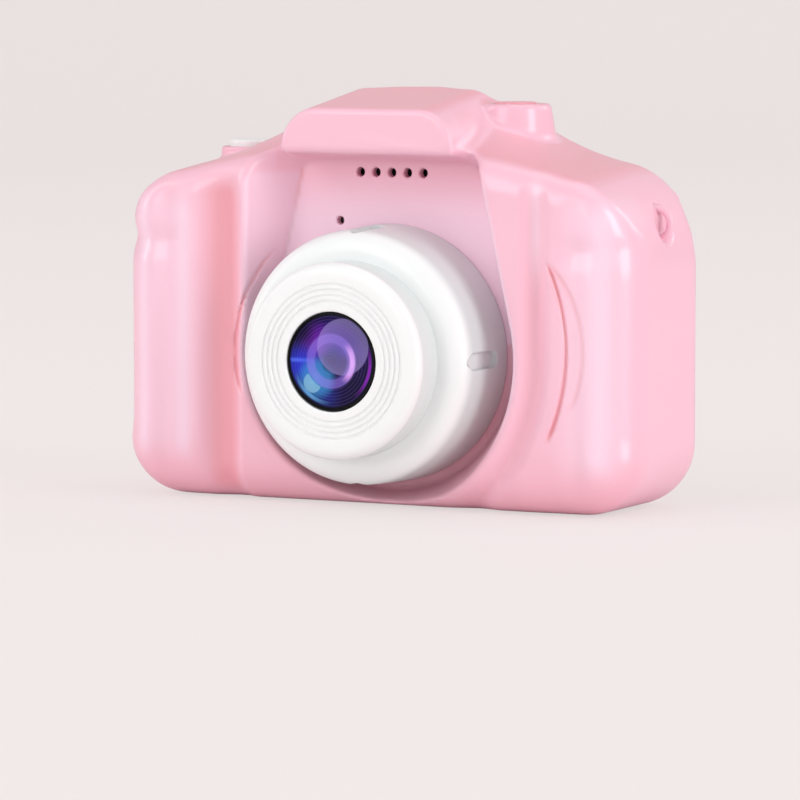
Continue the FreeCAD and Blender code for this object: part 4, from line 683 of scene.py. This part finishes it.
def glass_material():
    """The coated front glass with its colours painted: painted reflections and highlights in rings and soft
    patches of purple, blue and cyan over a dark ground, and a faint painted glow.
    """
    material, shader, out = new_material("coated_glass_painted_reflections")
    nodes, links = material.node_tree.nodes, material.node_tree.links
    place = nodes.new("ShaderNodeTexCoord")

    def moved(dx, dz, size):
        """Distance from a point in the glass plane, as one at the given size."""
        step = nodes.new("ShaderNodeMapping")
        step.inputs["Location"].default_value = (-dx / size, 0, -(LENS_Z + dz) / size)
        step.inputs["Scale"].default_value = (1000 / size, 0, 1000 / size)
        links.new(place.outputs["Object"], step.inputs["Vector"])
        length = nodes.new("ShaderNodeVectorMath")
        length.operation = "LENGTH"
        links.new(step.outputs["Vector"], length.inputs[0])
        return length.outputs["Value"]

    def across_line(dz, size):
        """Distance above or below a level line in the glass plane, as one at the given size."""
        parts = nodes.new("ShaderNodeSeparateXYZ")
        links.new(place.outputs["Object"], parts.inputs[0])
        shifted = nodes.new("ShaderNodeMath")
        shifted.operation = "MULTIPLY_ADD"
        shifted.inputs[1].default_value = 1000 / size
        shifted.inputs[2].default_value = -(LENS_Z + dz) / size
        links.new(parts.outputs["Z"], shifted.inputs[0])
        plain = nodes.new("ShaderNodeMath")
        plain.operation = "ABSOLUTE"
        links.new(shifted.outputs["Value"], plain.inputs[0])
        return plain.outputs["Value"]

    def graded(value, stops, kind="EASE"):
        ramp = nodes.new("ShaderNodeValToRGB")
        ramp.color_ramp.interpolation = kind
        items = ramp.color_ramp.elements
        while len(items) < len(stops):
            items.new(0.5)
        for item, (at, colour) in zip(items, stops):
            item.position = at
            item.color = colour
        links.new(value, ramp.inputs["Fac"])
        return ramp.outputs["Color"]

    def blend(base, over, factor):
        return mixed(material, base, over, factor)

    def grey(level):
        return (level, level, level, 1.0)

    def times(first, second):
        product = nodes.new("ShaderNodeMath")
        product.operation = "MULTIPLY"
        links.new(first, product.inputs[0])
        links.new(second, product.inputs[1])
        return product.outputs["Value"]

    def spot(dx, dz, size, level):
        """A soft round patch: its level in the middle, nothing at its size."""
        return graded(moved(dx, dz, size), [(0.0, grey(level)), (1.0, grey(0.0))])

    def band(value, levels, kind="EASE"):
        """Grey levels over a value, given as (value, level) pairs."""
        return graded(value, [(at, grey(level)) for at, level in levels], kind)

    middle = moved(0.05, 0.1, 6.8)
    colour = graded(middle, [
        (0.00, srgb(14, 34, 70)), (0.18, srgb(24, 40, 98)), (0.34, srgb(62, 48, 140)),
        (0.50, srgb(64, 32, 132)), (0.72, srgb(48, 18, 104)), (0.90, srgb(24, 10, 62)),
        (1.00, srgb(8, 5, 24))])
    # Painted reflections and highlights from here on: coloured patches, a line, rings and edge glints, with
    # darker patches between them.
    colour = blend(colour, srgb(104, 30, 158), spot(-2.4, 3.0, 3.4, 0.85))
    colour = blend(colour, srgb(34, 50, 196), spot(-4.8, -0.6, 4.2, 0.9))
    painted_reflection_streak = times(spot(-5.6, 0.1, 4.0, 0.9), band(across_line(0.1, 0.5), [(0.0, 0.8), (1.0, 0.0)]))
    colour = blend(colour, srgb(80, 110, 240), painted_reflection_streak)
    dark = band(moved(3.4, -3.0, 4.9), [(0.0, 1.0), (0.6, 0.85), (1.0, 0.0)])
    colour = blend(colour, srgb(14, 6, 44), dark)
    colour = blend(colour, srgb(16, 40, 122), spot(-0.8, -4.8, 3.0, 0.7))
    cyan = band(moved(-2.3, -2.4, 3.5), [(0.0, 0.85), (0.5, 0.6), (1.0, 0.0)])
    colour = blend(colour, srgb(52, 142, 200), cyan)
    colour = blend(colour, srgb(10, 6, 34), spot(-4.8, 4.4, 3.6, 0.9))
    patch = times(band(moved(-3.0, -3.1, 1.5), [(0.0, 0.5), (0.93, 0.45), (1.0, 0.0)], "LINEAR"),
                  band(middle, [(0.58, 0.0), (0.62, 1.0)], "LINEAR"))
    colour = blend(colour, srgb(150, 205, 222), patch)
    ring = band(middle, [(0.35, 0.0), (0.42, 0.36), (0.56, 0.36), (0.60, 0.0)])
    colour = blend(colour, srgb(150, 122, 236), ring)
    painted_highlight_band = times(band(middle, [(0.42, 0.0), (0.48, 0.95), (0.54, 0.85), (0.60, 0.0)]),
                   band(moved(3.6, -0.2, 3.4), [(0.0, 1.0), (0.4, 0.8), (1.0, 0.0)]))
    colour = blend(colour, srgb(232, 172, 252), painted_highlight_band)
    pupil = band(moved(-0.1, -0.2, 1.5), [(0.0, 0.85), (0.6, 0.6), (1.0, 0.0)])
    colour = blend(colour, srgb(10, 24, 50), pupil)
    arc = times(band(middle, [(0.86, 0.0), (0.90, 0.8), (0.93, 0.8), (0.95, 0.0)]),
                spot(5.6, -1.4, 4.4, 1.0))
    colour = blend(colour, srgb(142, 40, 186), arc)
    edge = times(band(middle, [(0.84, 0.0), (0.88, 0.85), (0.92, 0.7), (0.95, 0.0)]),
                 spot(-3.6, -4.6, 4.2, 1.0))
    colour = blend(colour, srgb(96, 160, 214), edge)
    rings = nodes.new("ShaderNodeMath")
    rings.operation = "SINE"
    scaled = nodes.new("ShaderNodeMath")
    scaled.operation = "MULTIPLY"
    scaled.inputs[1].default_value = 95.0
    links.new(middle, scaled.inputs[0])
    links.new(scaled.outputs["Value"], rings.inputs[0])
    colour = blend(colour, srgb(150, 130, 230), band(rings.outputs["Value"], [(0.0, 0.0), (1.0, 0.055)]))
    flare = band(moved(1.9, 2.2, 4.2), [(0.0, 0.16), (0.95, 0.30), (0.985, 0.0)], "LINEAR")
    colour = blend(colour, srgb(176, 160, 232), flare)
    colour = blend(colour, srgb(4, 4, 9), band(middle, [(0.955, 0.0), (1.0, 1.0)]))
    links.new(colour, shader.inputs["Base Color"])
    # Painted glow: the glass gives out a little light in its own painted colours.
    links.new(colour, shader.inputs["Emission Color"])
    shader.inputs["Emission Strength"].default_value = 0.12
    shader.inputs["Roughness"].default_value = 0.08
    shader.inputs["Specular IOR Level"].default_value = 0.12
    return material


def screen_material():
    """Black glass with a slightly lighter, bluish display area behind it."""
    material, shader, out = new_material("screen_glass")
    display = mixed(material, srgb(30, 34, 44), srgb(36, 41, 52), noise_of(material, 40))
    # The value named shade marks the display area, which is lighter and bluer in its own colour; it is not
    # shade.
    colour = mixed(material, srgb(10, 10, 13), display, painted(material, "shade"))
    material.node_tree.links.new(colour, shader.inputs["Base Color"])
    shader.inputs["Roughness"].default_value = 0.08
    shader.inputs["Coat Weight"].default_value = 0.5
    return material


GLASS = glass_material()
SCREEN = screen_material()


def dress(obj, material, slot, body, *nodes):
    """Gives a piece its material, its body and the CAD nodes that it replaces; its slot is not used."""
    obj.data.materials.clear()
    obj.data.materials.append(material)
    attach(obj, body)
    if nodes:
        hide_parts(*nodes)
    return obj


# ======== shells ========
SHELL_STEP = 0.52


def near_features(pad):
    """A mask of the places where the front shell has fine features."""
    def mask(x, y, z):
        near = np.zeros(len(x), bool)
        for side, cx, cz, radius, z_low, z_high, depth, width in CRESCENTS:
            on = (np.sign(x) == side) & (np.abs(np.hypot(x - cx, z - cz) - radius) < 0.9 * pad)
            near |= on & (z > z_low - 0.5) & (z < z_high + 0.5) & (y < -4)
        near |= (left_arc(x, y, z) > 0.02)
        sound = (np.abs(z - SPEAKER_Z) < 1.1 + 0.3 * pad) & (np.abs(x) < 6.4 + 0.3 * pad)
        sound |= from_microphone(x, z) < 1.1 + 0.3 * pad
        near |= sound & (y < -2.5)
        near |= (strap_ring(x, y, z) < 1.1 * pad) & (x > 39.5)
        near |= (np.abs(from_shutter(x, y) - 4.2) < 1.3) & (z > COLLAR_TOP - 1.5)
        near |= (np.abs(from_power(x, y) - 3.4) < 0.9) & (z > 57.0)
        return near
    return mask


def near_openings(x, y, z):
    """A mask of the places round the openings beneath the body."""
    return (z < 2.2) & (hole_form(x, y, z) < 0.7)


def near_front_features(x, y, z):
    """A mask of the fine features, the openings and the seam, on the outside of the front shell."""
    near = near_features(1.0)(x, y, z) | near_openings(x, y, z) | (y > SEAM_Y - 0.7)
    return near & (outer_form(x, y, z) > -1.0)


def near_rear_features(x, y, z):
    """A mask of the edges of the keys' openings and the screen's pocket, and of the seam."""
    near = (np.abs(key_outline(x, z, KEY_GAP)) < 0.7) & (y > 12.5)
    near |= (np.abs(screen_outline(x, z, 0.0, 0.0, 3.0)) < 0.7) & (y > 12.5)
    return near | (y < SEAM_Y + 0.7)


def top_shade(up, z):
    """Painted shade: how far the colour deepens where the body's top faces up."""
    return smooth_step(up, 0.80, 0.97) * smooth_step(z, 40.0, 46.0) * 0.65


def foot_line(x, y, z):
    """One along the left edge of the channel's panel, zero away from it."""
    foot = (BASE_RADIUS + 1.1 - (z - LENS_Z) * math.sin(CHANNEL_LEAN)) / math.cos(CHANNEL_LEAN)
    line = bump(x + foot, 0.0, 0.22) * (x < 0) * (y > PANEL_Y - 0.7) * (y < PANEL_Y + 0.4)
    return line * smooth_step(z, 27.0, 32.0) * (1.0 - smooth_step(z, 48.0, 49.5))


def shell_shade(points, normals):
    """Painted shade: how far the colour deepens in the finger grooves and along the thin groove lines and the
    channel's left foot, round the lens, low and high on the front, and on top where it faces up.
    """
    x, y, z = points.T
    valley = valley_share(x, z) * smooth_step(-y, 9.0, 12.5) * np.where(x < 0, 0.85, 0.30)
    round_lens = 0.8 * np.exp(-np.maximum(from_lens(x, z) - BASE_RADIUS, 0) / 2.2)
    round_lens = round_lens * smooth_step(-y, 4.5, 6.5) * smooth_step(25 - z, 0, 14)
    lower = (1.0 - smooth_step(z, 2.0, 14.0)) * smooth_step(-y, 5.0, 10.0) * 0.25
    upper = smooth_step(z, 42.0, 51.0) * smooth_step(-y, 3.5, 5.0) * (np.abs(x) < 18) * (y > -9.5) * 0.12
    crescents = crescent_depth(x, z) / 0.30 * (y < -4)
    lines = np.maximum.reduce([crescents, left_arc(x, y, z) * 1.1, 0.75 * foot_line(x, y, z)])
    every = [valley, round_lens, lower, upper, top_shade(normals[:, 2], z), lines]
    return np.clip(np.maximum.reduce(every), 0, 1)


def shell_painted_highlight(points):
    """Painted highlights: how far the colour lightens on the grips' ridges, the channel's walls and rim and
    the panel's foot.
    """
    x, y, z = points.T
    middle = smooth_step(z, 4.0, 9.0) * (1.0 - smooth_step(z, 42.0, 47.0)) * smooth_step(-y, 2.0, 6.0)
    right = 0.75 * bump(x, 37.0, 2.2) + 0.30 * bump(x, 33.0, 2.5)
    left = 0.60 * bump(x, -37.4, 1.4) + 0.62 * bump(x, -30.2, 1.5) + 0.35 * bump(x, -33.8, 3.0)
    bands = np.where(x > 0, right, left) * middle
    ridge = 0.55 * bump(x, 27.0, 1.1) * (y < -10)
    ridge = ridge * smooth_step(z, 30.0, 40.0) * (1.0 - smooth_step(z, 46.5, 49.0))
    panel = 0.75 * (1.0 - smooth_step(z, 40.0, 50.0)) * (z > 24.0)
    panel = panel * (np.abs(y - PANEL_Y) < 0.5) * (np.abs(x) < 20)
    wall = smooth_step(y, -13.6, -12.4) * (1.0 - smooth_step(y, PANEL_Y - 0.6, PANEL_Y)) * (y < PANEL_Y)
    wall = wall * (np.abs(channel(x, y, z)) < 0.6) * np.where(x > 0, 0.65, 0.45)
    wall = wall * smooth_step(z, 14.0, 26.0) * (1.0 - smooth_step(z, 47.5, 49.0))
    rim = bump(channel(x, np.full_like(y, FRONT_Y + 0.3), z), 0.0, 0.45) * (y < -12.0)
    rim = rim * np.where(x > 0, 0.8, 0.6) * smooth_step(z, 6.0, 20.0) * (1.0 - smooth_step(z, 46.5, 48.5))
    return np.clip(np.maximum.reduce([bands, ridge, panel, wall, rim]), 0, 1)


front_masks = [near_front_features, near_features(0.75)]
front_points, front_faces = surface_mesh(
    front_shell_form, [front_low[0] - 1.1, FRONT_Y - 2.3, -1.1],
    [front_high[0] + 1.1, SEAM_Y + 1.1, TOP_Z + 1.1], SHELL_STEP, front_masks)
front_points = np.clip(front_points, front_low, front_high)
front_shell = add_mesh("moulded_front_shell", front_points, front_faces, front_shell_form)
# Painted shade and painted highlights carried at the front shell's points.
put_value(front_shell, "shade", shell_shade(front_points, unit_slope(front_shell_form, front_points)))
put_value(front_shell, "painted_highlight", shell_painted_highlight(front_points))
dress(front_shell, PINK, "pink_shell", "camera", "front_shell")

rear_points, rear_faces = surface_mesh(
    rear_shell_form, [rear_low[0] - 1.1, SEAM_Y - 1.5, -1.1], [rear_high[0] + 1.1, REAR_Y + 1.1, TOP_Z + 1.1],
    SHELL_STEP, [near_rear_features])
rear_points = np.clip(rear_points, [rear_low[0], SEAM_Y, rear_low[2]], rear_high)
rear_shell = add_mesh("moulded_rear_shell", rear_points, rear_faces, rear_shell_form)
rear_up = unit_slope(rear_shell_form, rear_points)[:, 2]
# Painted shade where the rear shell's top faces up.
put_value(rear_shell, "shade", top_shade(rear_up, rear_points[:, 2]))
dress(rear_shell, PINK, "pink_shell", "camera", "rear_shell")


# ======== lens ========
def notch_outline(x, y, z):
    """Below zero inside the outline of the four notches, seen from beside the ring."""
    across = np.minimum(np.abs(x), np.abs(z - LENS_Z))
    return np.hypot(across, np.maximum(np.abs(y - BASE_FRONT_Y - 5.9) - 2.85, 0.0)) - 1.2


def base_ring_form(x, y, z):
    r = from_lens(x, z)
    outer = r - (BASE_RADIUS - 0.01) + 0.5 * (PANEL_Y - y) / 13.2
    form = round_max(outer, BASE_FRONT_Y - y, 3.0)
    form = soft_max(form, y - PANEL_Y + 0.01, 0.25)
    form = soft_max(form, 12.6 - r, 0.2)
    out = np.maximum(np.abs(x), np.abs(z - LENS_Z))
    notch = np.maximum(np.maximum(notch_outline(x, y, z), -(form + 0.85)), 14.0 - out)
    return soft_max(form, -notch, 0.2)


def near_notches(x, y, z):
    across = np.minimum(np.abs(x), np.abs(z - LENS_Z))
    return ((across < 2.2) | (y > PANEL_Y - 0.9)) & (from_lens(x, z) > 15.5)


def base_shade(points):
    """Painted shade: how far the ring's white greys down its side and in its notches."""
    x, y, z = points.T
    r = from_lens(x, z)
    side = smooth_step(r, BASE_RADIUS - 1.2, BASE_RADIUS - 0.55)
    side = side * smooth_step(y, BASE_FRONT_Y + 1.0, BASE_FRONT_Y + 3.0)
    notch = (notch_outline(x, y, z) < -0.02) & (r < BASE_RADIUS - 0.8) & (r > 15.0) & (y > BASE_FRONT_Y + 1.6)
    return 0.6 * side + 0.4 * notch
base_points, base_faces = surface_mesh(
    base_ring_form, [base_low[0] - 1.0, BASE_FRONT_Y - 1.0, base_low[2] - 1.0],
    [base_high[0] + 1.0, PANEL_Y + 1.0, base_high[2] + 1.0], 0.5, [near_notches])
base_points = np.clip(base_points, base_low, base_high)
base_ring = add_mesh("lens_base", base_points, base_faces, base_ring_form)
put_value(base_ring, "shade", base_shade(base_points))
dress(base_ring, WHITE_BASE, "white_gloss", "camera", "lens_base_ring")

barrel_corners = [(7.2, LENS_FRONT_Y, 0.25)]
for groove in (8.7, 9.5, 10.3, 11.1):
    barrel_corners += [(groove - 0.25, LENS_FRONT_Y, 0.07), (groove - 0.1, LENS_FRONT_Y + 0.27, 0.04),
                       (groove + 0.1, LENS_FRONT_Y + 0.27, 0.04), (groove + 0.25, LENS_FRONT_Y, 0.07)]
barrel_corners += [(BARREL_RADIUS, LENS_FRONT_Y, 1.5), (BARREL_RADIUS, BASE_FRONT_Y - 0.02, 0.1),
                   (12.5, BASE_FRONT_Y - 0.02, 0.0), (12.5, barrel_high[1], 0.1), (10.8, barrel_high[1], 0.1),
                   (10.8, LENS_FRONT_Y + 1.7, 0.1), (7.2, LENS_FRONT_Y + 1.7, 0.1)]
barrel = turned("lens_front_barrel", rounded_profile(barrel_corners), (0, LENS_Z), "y", 256)
barrel_points = np.array([v.co[:] for v in barrel.data.vertices]) / MM
barrel_reach = from_lens(barrel_points[:, 0], barrel_points[:, 2])
# Painted shade: the barrel's outer side greys.
put_value(barrel, "shade", (barrel_reach > BARREL_RADIUS - 0.05) & (barrel_points[:, 1] > LENS_FRONT_Y + 1.0))
dress(barrel, WHITE_BARREL, "white_gloss", "camera", "lens_barrel")

bezel_front = bezel_low[1]
bezel_corners = [(6.86, bezel_front, 0.06), (7.08, bezel_front, 0.12), (7.08, bezel_high[1], 0.1),
                 (6.32, bezel_high[1], 0.1), (6.32, bezel_front + 0.8, 0.05), (6.86, bezel_front + 0.8, 0.05)]
bezel = turned("lens_rim", rounded_profile(bezel_corners), (0, LENS_Z), "y", 192)
dress(bezel, BLACK_RIM, "black_gloss", "camera", "lens_bezel")

glass_front = window_low[1]
glass_rear = bezel_front + 0.75
glass_line = []
for k in range(25):
    r = GLASS_RADIUS * k / 24
    glass_line.append((r, glass_front + 0.02 + 0.3 * (r / GLASS_RADIUS) ** 2))
glass_line += [(GLASS_RADIUS, glass_rear), (6.3, glass_rear), (6.3, window_high[1] - 0.05),
               (6.2, window_high[1]), (0.0, window_high[1])]
glass = turned("lens_front_glass", np.array(glass_line), (0, LENS_Z), "y", 160)
dress(glass, GLASS, "clear_glass", "camera", "lens_window")


# ======== buttons ========
def cap_outline(radius, top, foot, flange_top, edge, dish):
    """The outline of a dished round cap with a flange at its foot."""
    line = []
    for k in range(10):
        r = (radius - edge) * k / 9
        line.append((r, top - dish * (1 - (r / (radius - edge)) ** 2)))
    for k in range(1, 8):
        a = math.pi / 2 * k / 7
        line.append((radius - edge + edge * math.sin(a), top - edge + edge * math.cos(a)))
    flange = radius + CAP_FLANGE
    line += [(radius, flange_top), (flange, flange_top), (flange, foot), (0.0, foot)]
    return np.array(line)


shutter_line = cap_outline(SHUTTER_RADIUS, shutter_high[2], shutter_low[2], shutter_low[2] + FLANGE_THICKNESS,
                           0.45, 0.12)
shutter = turned("shutter_cap", shutter_line, (SHUTTER_X, BUTTON_Y), "z", 96)
dress(shutter, WHITE_KEYS, "white_keys", "shutter", "shutter_button")

power_flange_top = power_high[2] - 2.2
power_flange_foot = power_flange_top - FLANGE_THICKNESS
power_line = cap_outline(POWER_RADIUS, power_high[2], power_flange_foot, power_flange_top, 0.25, 0.18)
power_stem = [(1.3, power_flange_foot), (1.3, power_low[2]), (0.0, power_low[2])]
power_line = np.concatenate([power_line[:-1], power_stem])
power = turned("power_cap", power_line, (POWER_X, BUTTON_Y), "z", 96)
# Painted shade: the whole cap takes the deeper pink of the shade colour, at 0.8.
put_value(power, "shade", np.full(len(power.data.vertices), 0.8))
dress(power, PINK, "pink_shell", "power", "power_button")


# ======== rear keys ========
ARROWS = {"up_key": (0, 1), "down_key": (0, -1), "left_key": (1, 0), "right_key": (-1, 0)}


def key_form_of(name):
    """The form of a rear key, with a shallow sign pressed into it."""
    low, high = node_box(name)
    cx, cz = (low[0] + high[0]) / 2, (low[2] + high[2]) / 2
    arrow = ARROWS.get(name)
    top = high[1]

    def along_and_across(x, z):
        """How far a place lies out along the arrow from the keypad's middle, and to its side."""
        dx, dz = x - KEYPAD_X, z - KEYPAD_Z
        return dx * arrow[0] + dz * arrow[1], np.abs(dx * arrow[1] - dz * arrow[0])

    def outline(x, z, grow):
        if arrow is None:
            radius = OK_RADIUS if name == "ok_key" else ROUND_KEY_RADIUS
            return np.hypot(x - cx, z - cz) - radius - grow
        along, across = along_and_across(x, z)
        ring = np.abs(np.hypot(x - KEYPAD_X, z - KEYPAD_Z) - KEY_RING_RADIUS) - KEY_RING_HALF
        return round_max(ring, (across - along) * math.sqrt(0.5) + 1.0, 0.4) - grow

    def mark(x, z):
        """Below zero inside the sign: a triangle, a ring or a ring with a dot."""
        if arrow is not None:
            along, across = along_and_across(x, z)
            along = along - KEY_RING_RADIUS
            return np.maximum((across + along - 0.9) * 0.707, -0.7 - along)
        dx, dz = x - cx, z - cz
        r = np.hypot(dx, dz)
        if name == "ok_key":
            return np.abs(r - 1.5) - 0.25
        if name == "mode_key":
            return np.minimum(np.abs(r - 1.1) - 0.2, round_box(dx, dz, 0.35, 0.35, 0.3))
        return np.maximum((np.abs(dz) * 1.2 - dx - 0.9) * 0.64, dx - 0.7)

    def form(x, y, z):
        dish = 0.16 * np.clip(1 + outline(x, z, 0) / 3.0, 0, 1)
        cap = round_max(outline(x, z, 0), y - top + 0.02 + 0.12 * (1 - dish / 0.16), 0.35)
        cap = soft_max(cap, -np.maximum(mark(x, z), top - MARK_DEPTH - y), 0.12)
        cap = np.maximum(cap, KEY_FOOT_Y - y)
        half = FLANGE_THICKNESS / 2
        flange = np.maximum(outline(x, z, CAP_FLANGE), np.abs(y - KEY_FOOT_Y - half) - half)
        return np.minimum(cap, flange)

    return form


for key in (*ARROWS, "ok_key", "mode_key", "playback_key"):
    low, high = node_box(key)
    top = high[1]
    form = key_form_of(key)
    key_points, key_faces = surface_mesh(form, [low[0] - 0.7, KEY_FOOT_Y - 0.7, low[2] - 0.7],
                                         [high[0] + 0.7, top + 0.7, high[2] + 0.7], 0.22,
                                         [lambda x, y, z, top=top: y > top - 0.6])
    key_points = np.clip(key_points, low, high)
    piece = add_mesh(key.replace("_key", "_keycap"), key_points, key_faces, form)
    dress(piece, WHITE_KEYS, "white_keys", "key_" + key.replace("_key", ""), key)


# ======== screen ========
def screen_form(x, y, z):
    form = screen_outline(x, z, -0.01, -0.01, 2.9)
    form = round_max(form, y - screen_high[1] + 0.01, 0.3)
    return soft_max(form, screen_low[1] + 0.01 - y, 0.1)


screen_points, screen_faces = surface_mesh(screen_form, screen_low - 0.8, screen_high + 0.8, 0.4)
screen_points = np.clip(screen_points, screen_low, screen_high)
screen = add_mesh("screen_glass", screen_points, screen_faces, screen_form)
screen_middle = (screen_low + screen_high) / 2
display_area = round_box(screen_points[:, 0] - screen_middle[0], screen_points[:, 2] - screen_middle[2],
                         *DISPLAY_HALF, 0.6)
# Here the value named shade marks the display area, not shade.
put_value(screen, "shade", 1.0 - smooth_step(display_area, -0.2, 0.2))
dress(screen, SCREEN, "black_gloss", "camera", "screen_window")


# ======== floor, light and camera ========
AZIMUTH = math.radians(27)
ELEVATION = math.radians(5.25)
FLOOR_GLOW = 0.72
FLOOR_Z = -0.0002


def floor_material():
    """A pale floor that glows a little to the camera alone, so that it looks even where the lamps fall off."""
    material, shader, out = new_material("pale_floor")
    nodes, links = material.node_tree.nodes, material.node_tree.links
    cloud = noise_of(material, 3.0, in_object=False)
    colour = mixed(material, srgb(244, 236, 236), srgb(242, 233, 233), cloud)
    links.new(colour, shader.inputs["Base Color"])
    shader.inputs["Roughness"].default_value = 0.6
    glow = nodes.new("ShaderNodeEmission")
    links.new(colour, glow.inputs["Color"])
    path = nodes.new("ShaderNodeLightPath")
    share = nodes.new("ShaderNodeMath")
    share.operation = "MULTIPLY"
    share.inputs[1].default_value = FLOOR_GLOW
    links.new(path.outputs["Is Camera Ray"], share.inputs[0])
    both = nodes.new("ShaderNodeMixShader")
    links.new(share.outputs["Value"], both.inputs[0])
    links.new(shader.outputs[0], both.inputs[1])
    links.new(glow.outputs[0], both.inputs[2])
    links.new(both.outputs[0], out.inputs["Surface"])
    return material


def backdrop():
    """A floor that curves up into a wall far behind the object."""
    line = [(-3.0, FLOOR_Z), (1.2, FLOOR_Z)]
    for k in range(1, 13):
        a = math.pi / 2 * k / 12
        line.append((1.2 + 0.6 * math.sin(a), 0.6 - 0.6 * math.cos(a)))
    line.append((1.8, 4.0))
    points = [(x, y, z) for x in (-4.0, 4.0) for y, z in line]
    n = len(line)
    faces = [[i, n + i, n + i + 1, i + 1] for i in range(n - 1)]
    mesh = bpy.data.meshes.new("backdrop")
    mesh.from_pydata(points, [], faces)
    mesh.shade_smooth()
    obj = bpy.data.objects.new("backdrop", mesh)
    bpy.context.scene.collection.objects.link(obj)
    obj.rotation_euler = (0, 0, AZIMUTH)
    obj.data.materials.append(floor_material())


def lamp(name, place, size, power):
    """A rectangular lamp that faces the object."""
    light = bpy.data.lights.new(name, "AREA")
    light.shape = "RECTANGLE"
    light.size, light.size_y = size
    light.energy = power
    obj = bpy.data.objects.new(name, light)
    bpy.context.scene.collection.objects.link(obj)
    obj.location = place
    obj.rotation_euler = (Vector((0, 0, 0.03)) - Vector(place)).to_track_quat("-Z", "Y").to_euler()
backdrop()
lamp("front_softbox", (-0.45, -1.1, 0.55), (0.7, 0.9), 5.0)
lamp("left_strip", (-1.1, -0.35, 0.5), (0.25, 0.9), 2.6)
lamp("right_strip", (1.35, -0.35, 0.45), (0.5, 1.0), 8.5)
lamp("top_softbox", (0.1, 0.1, 1.2), (0.9, 0.7), 2.0)
lamp("rear_fill", (1.0, 1.1, 0.8), (0.6, 0.6), 3.0)

world = bpy.data.worlds.new("studio")
bpy.context.scene.world = world
world.use_nodes = True
world.node_tree.nodes["Background"].inputs[0].default_value = (1.0, 0.985, 0.985, 1.0)
world.node_tree.nodes["Background"].inputs[1].default_value = 0.50

scene = bpy.context.scene
scene.view_settings.view_transform = "Standard"

right = Vector((math.cos(AZIMUTH), math.sin(AZIMUTH), 0))
forward = Vector((-math.sin(AZIMUTH) * math.cos(ELEVATION), math.cos(AZIMUTH) * math.cos(ELEVATION),
                  -math.sin(ELEVATION)))
upward = right.cross(forward)
target = Vector((0, -0.005, 0.022)) + right * 0.00101 - upward * 0.00703
camera_data = bpy.data.cameras.new("camera")
camera_data.lens = 225
camera_data.sensor_width = 36
camera_data.clip_start, camera_data.clip_end = 0.01, 20
camera = bpy.data.objects.new("camera", camera_data)
scene.collection.objects.link(camera)
camera.location = target - forward * 0.732
camera.rotation_euler = forward.to_track_quat("-Z", "Y").to_euler()
scene.camera = camera
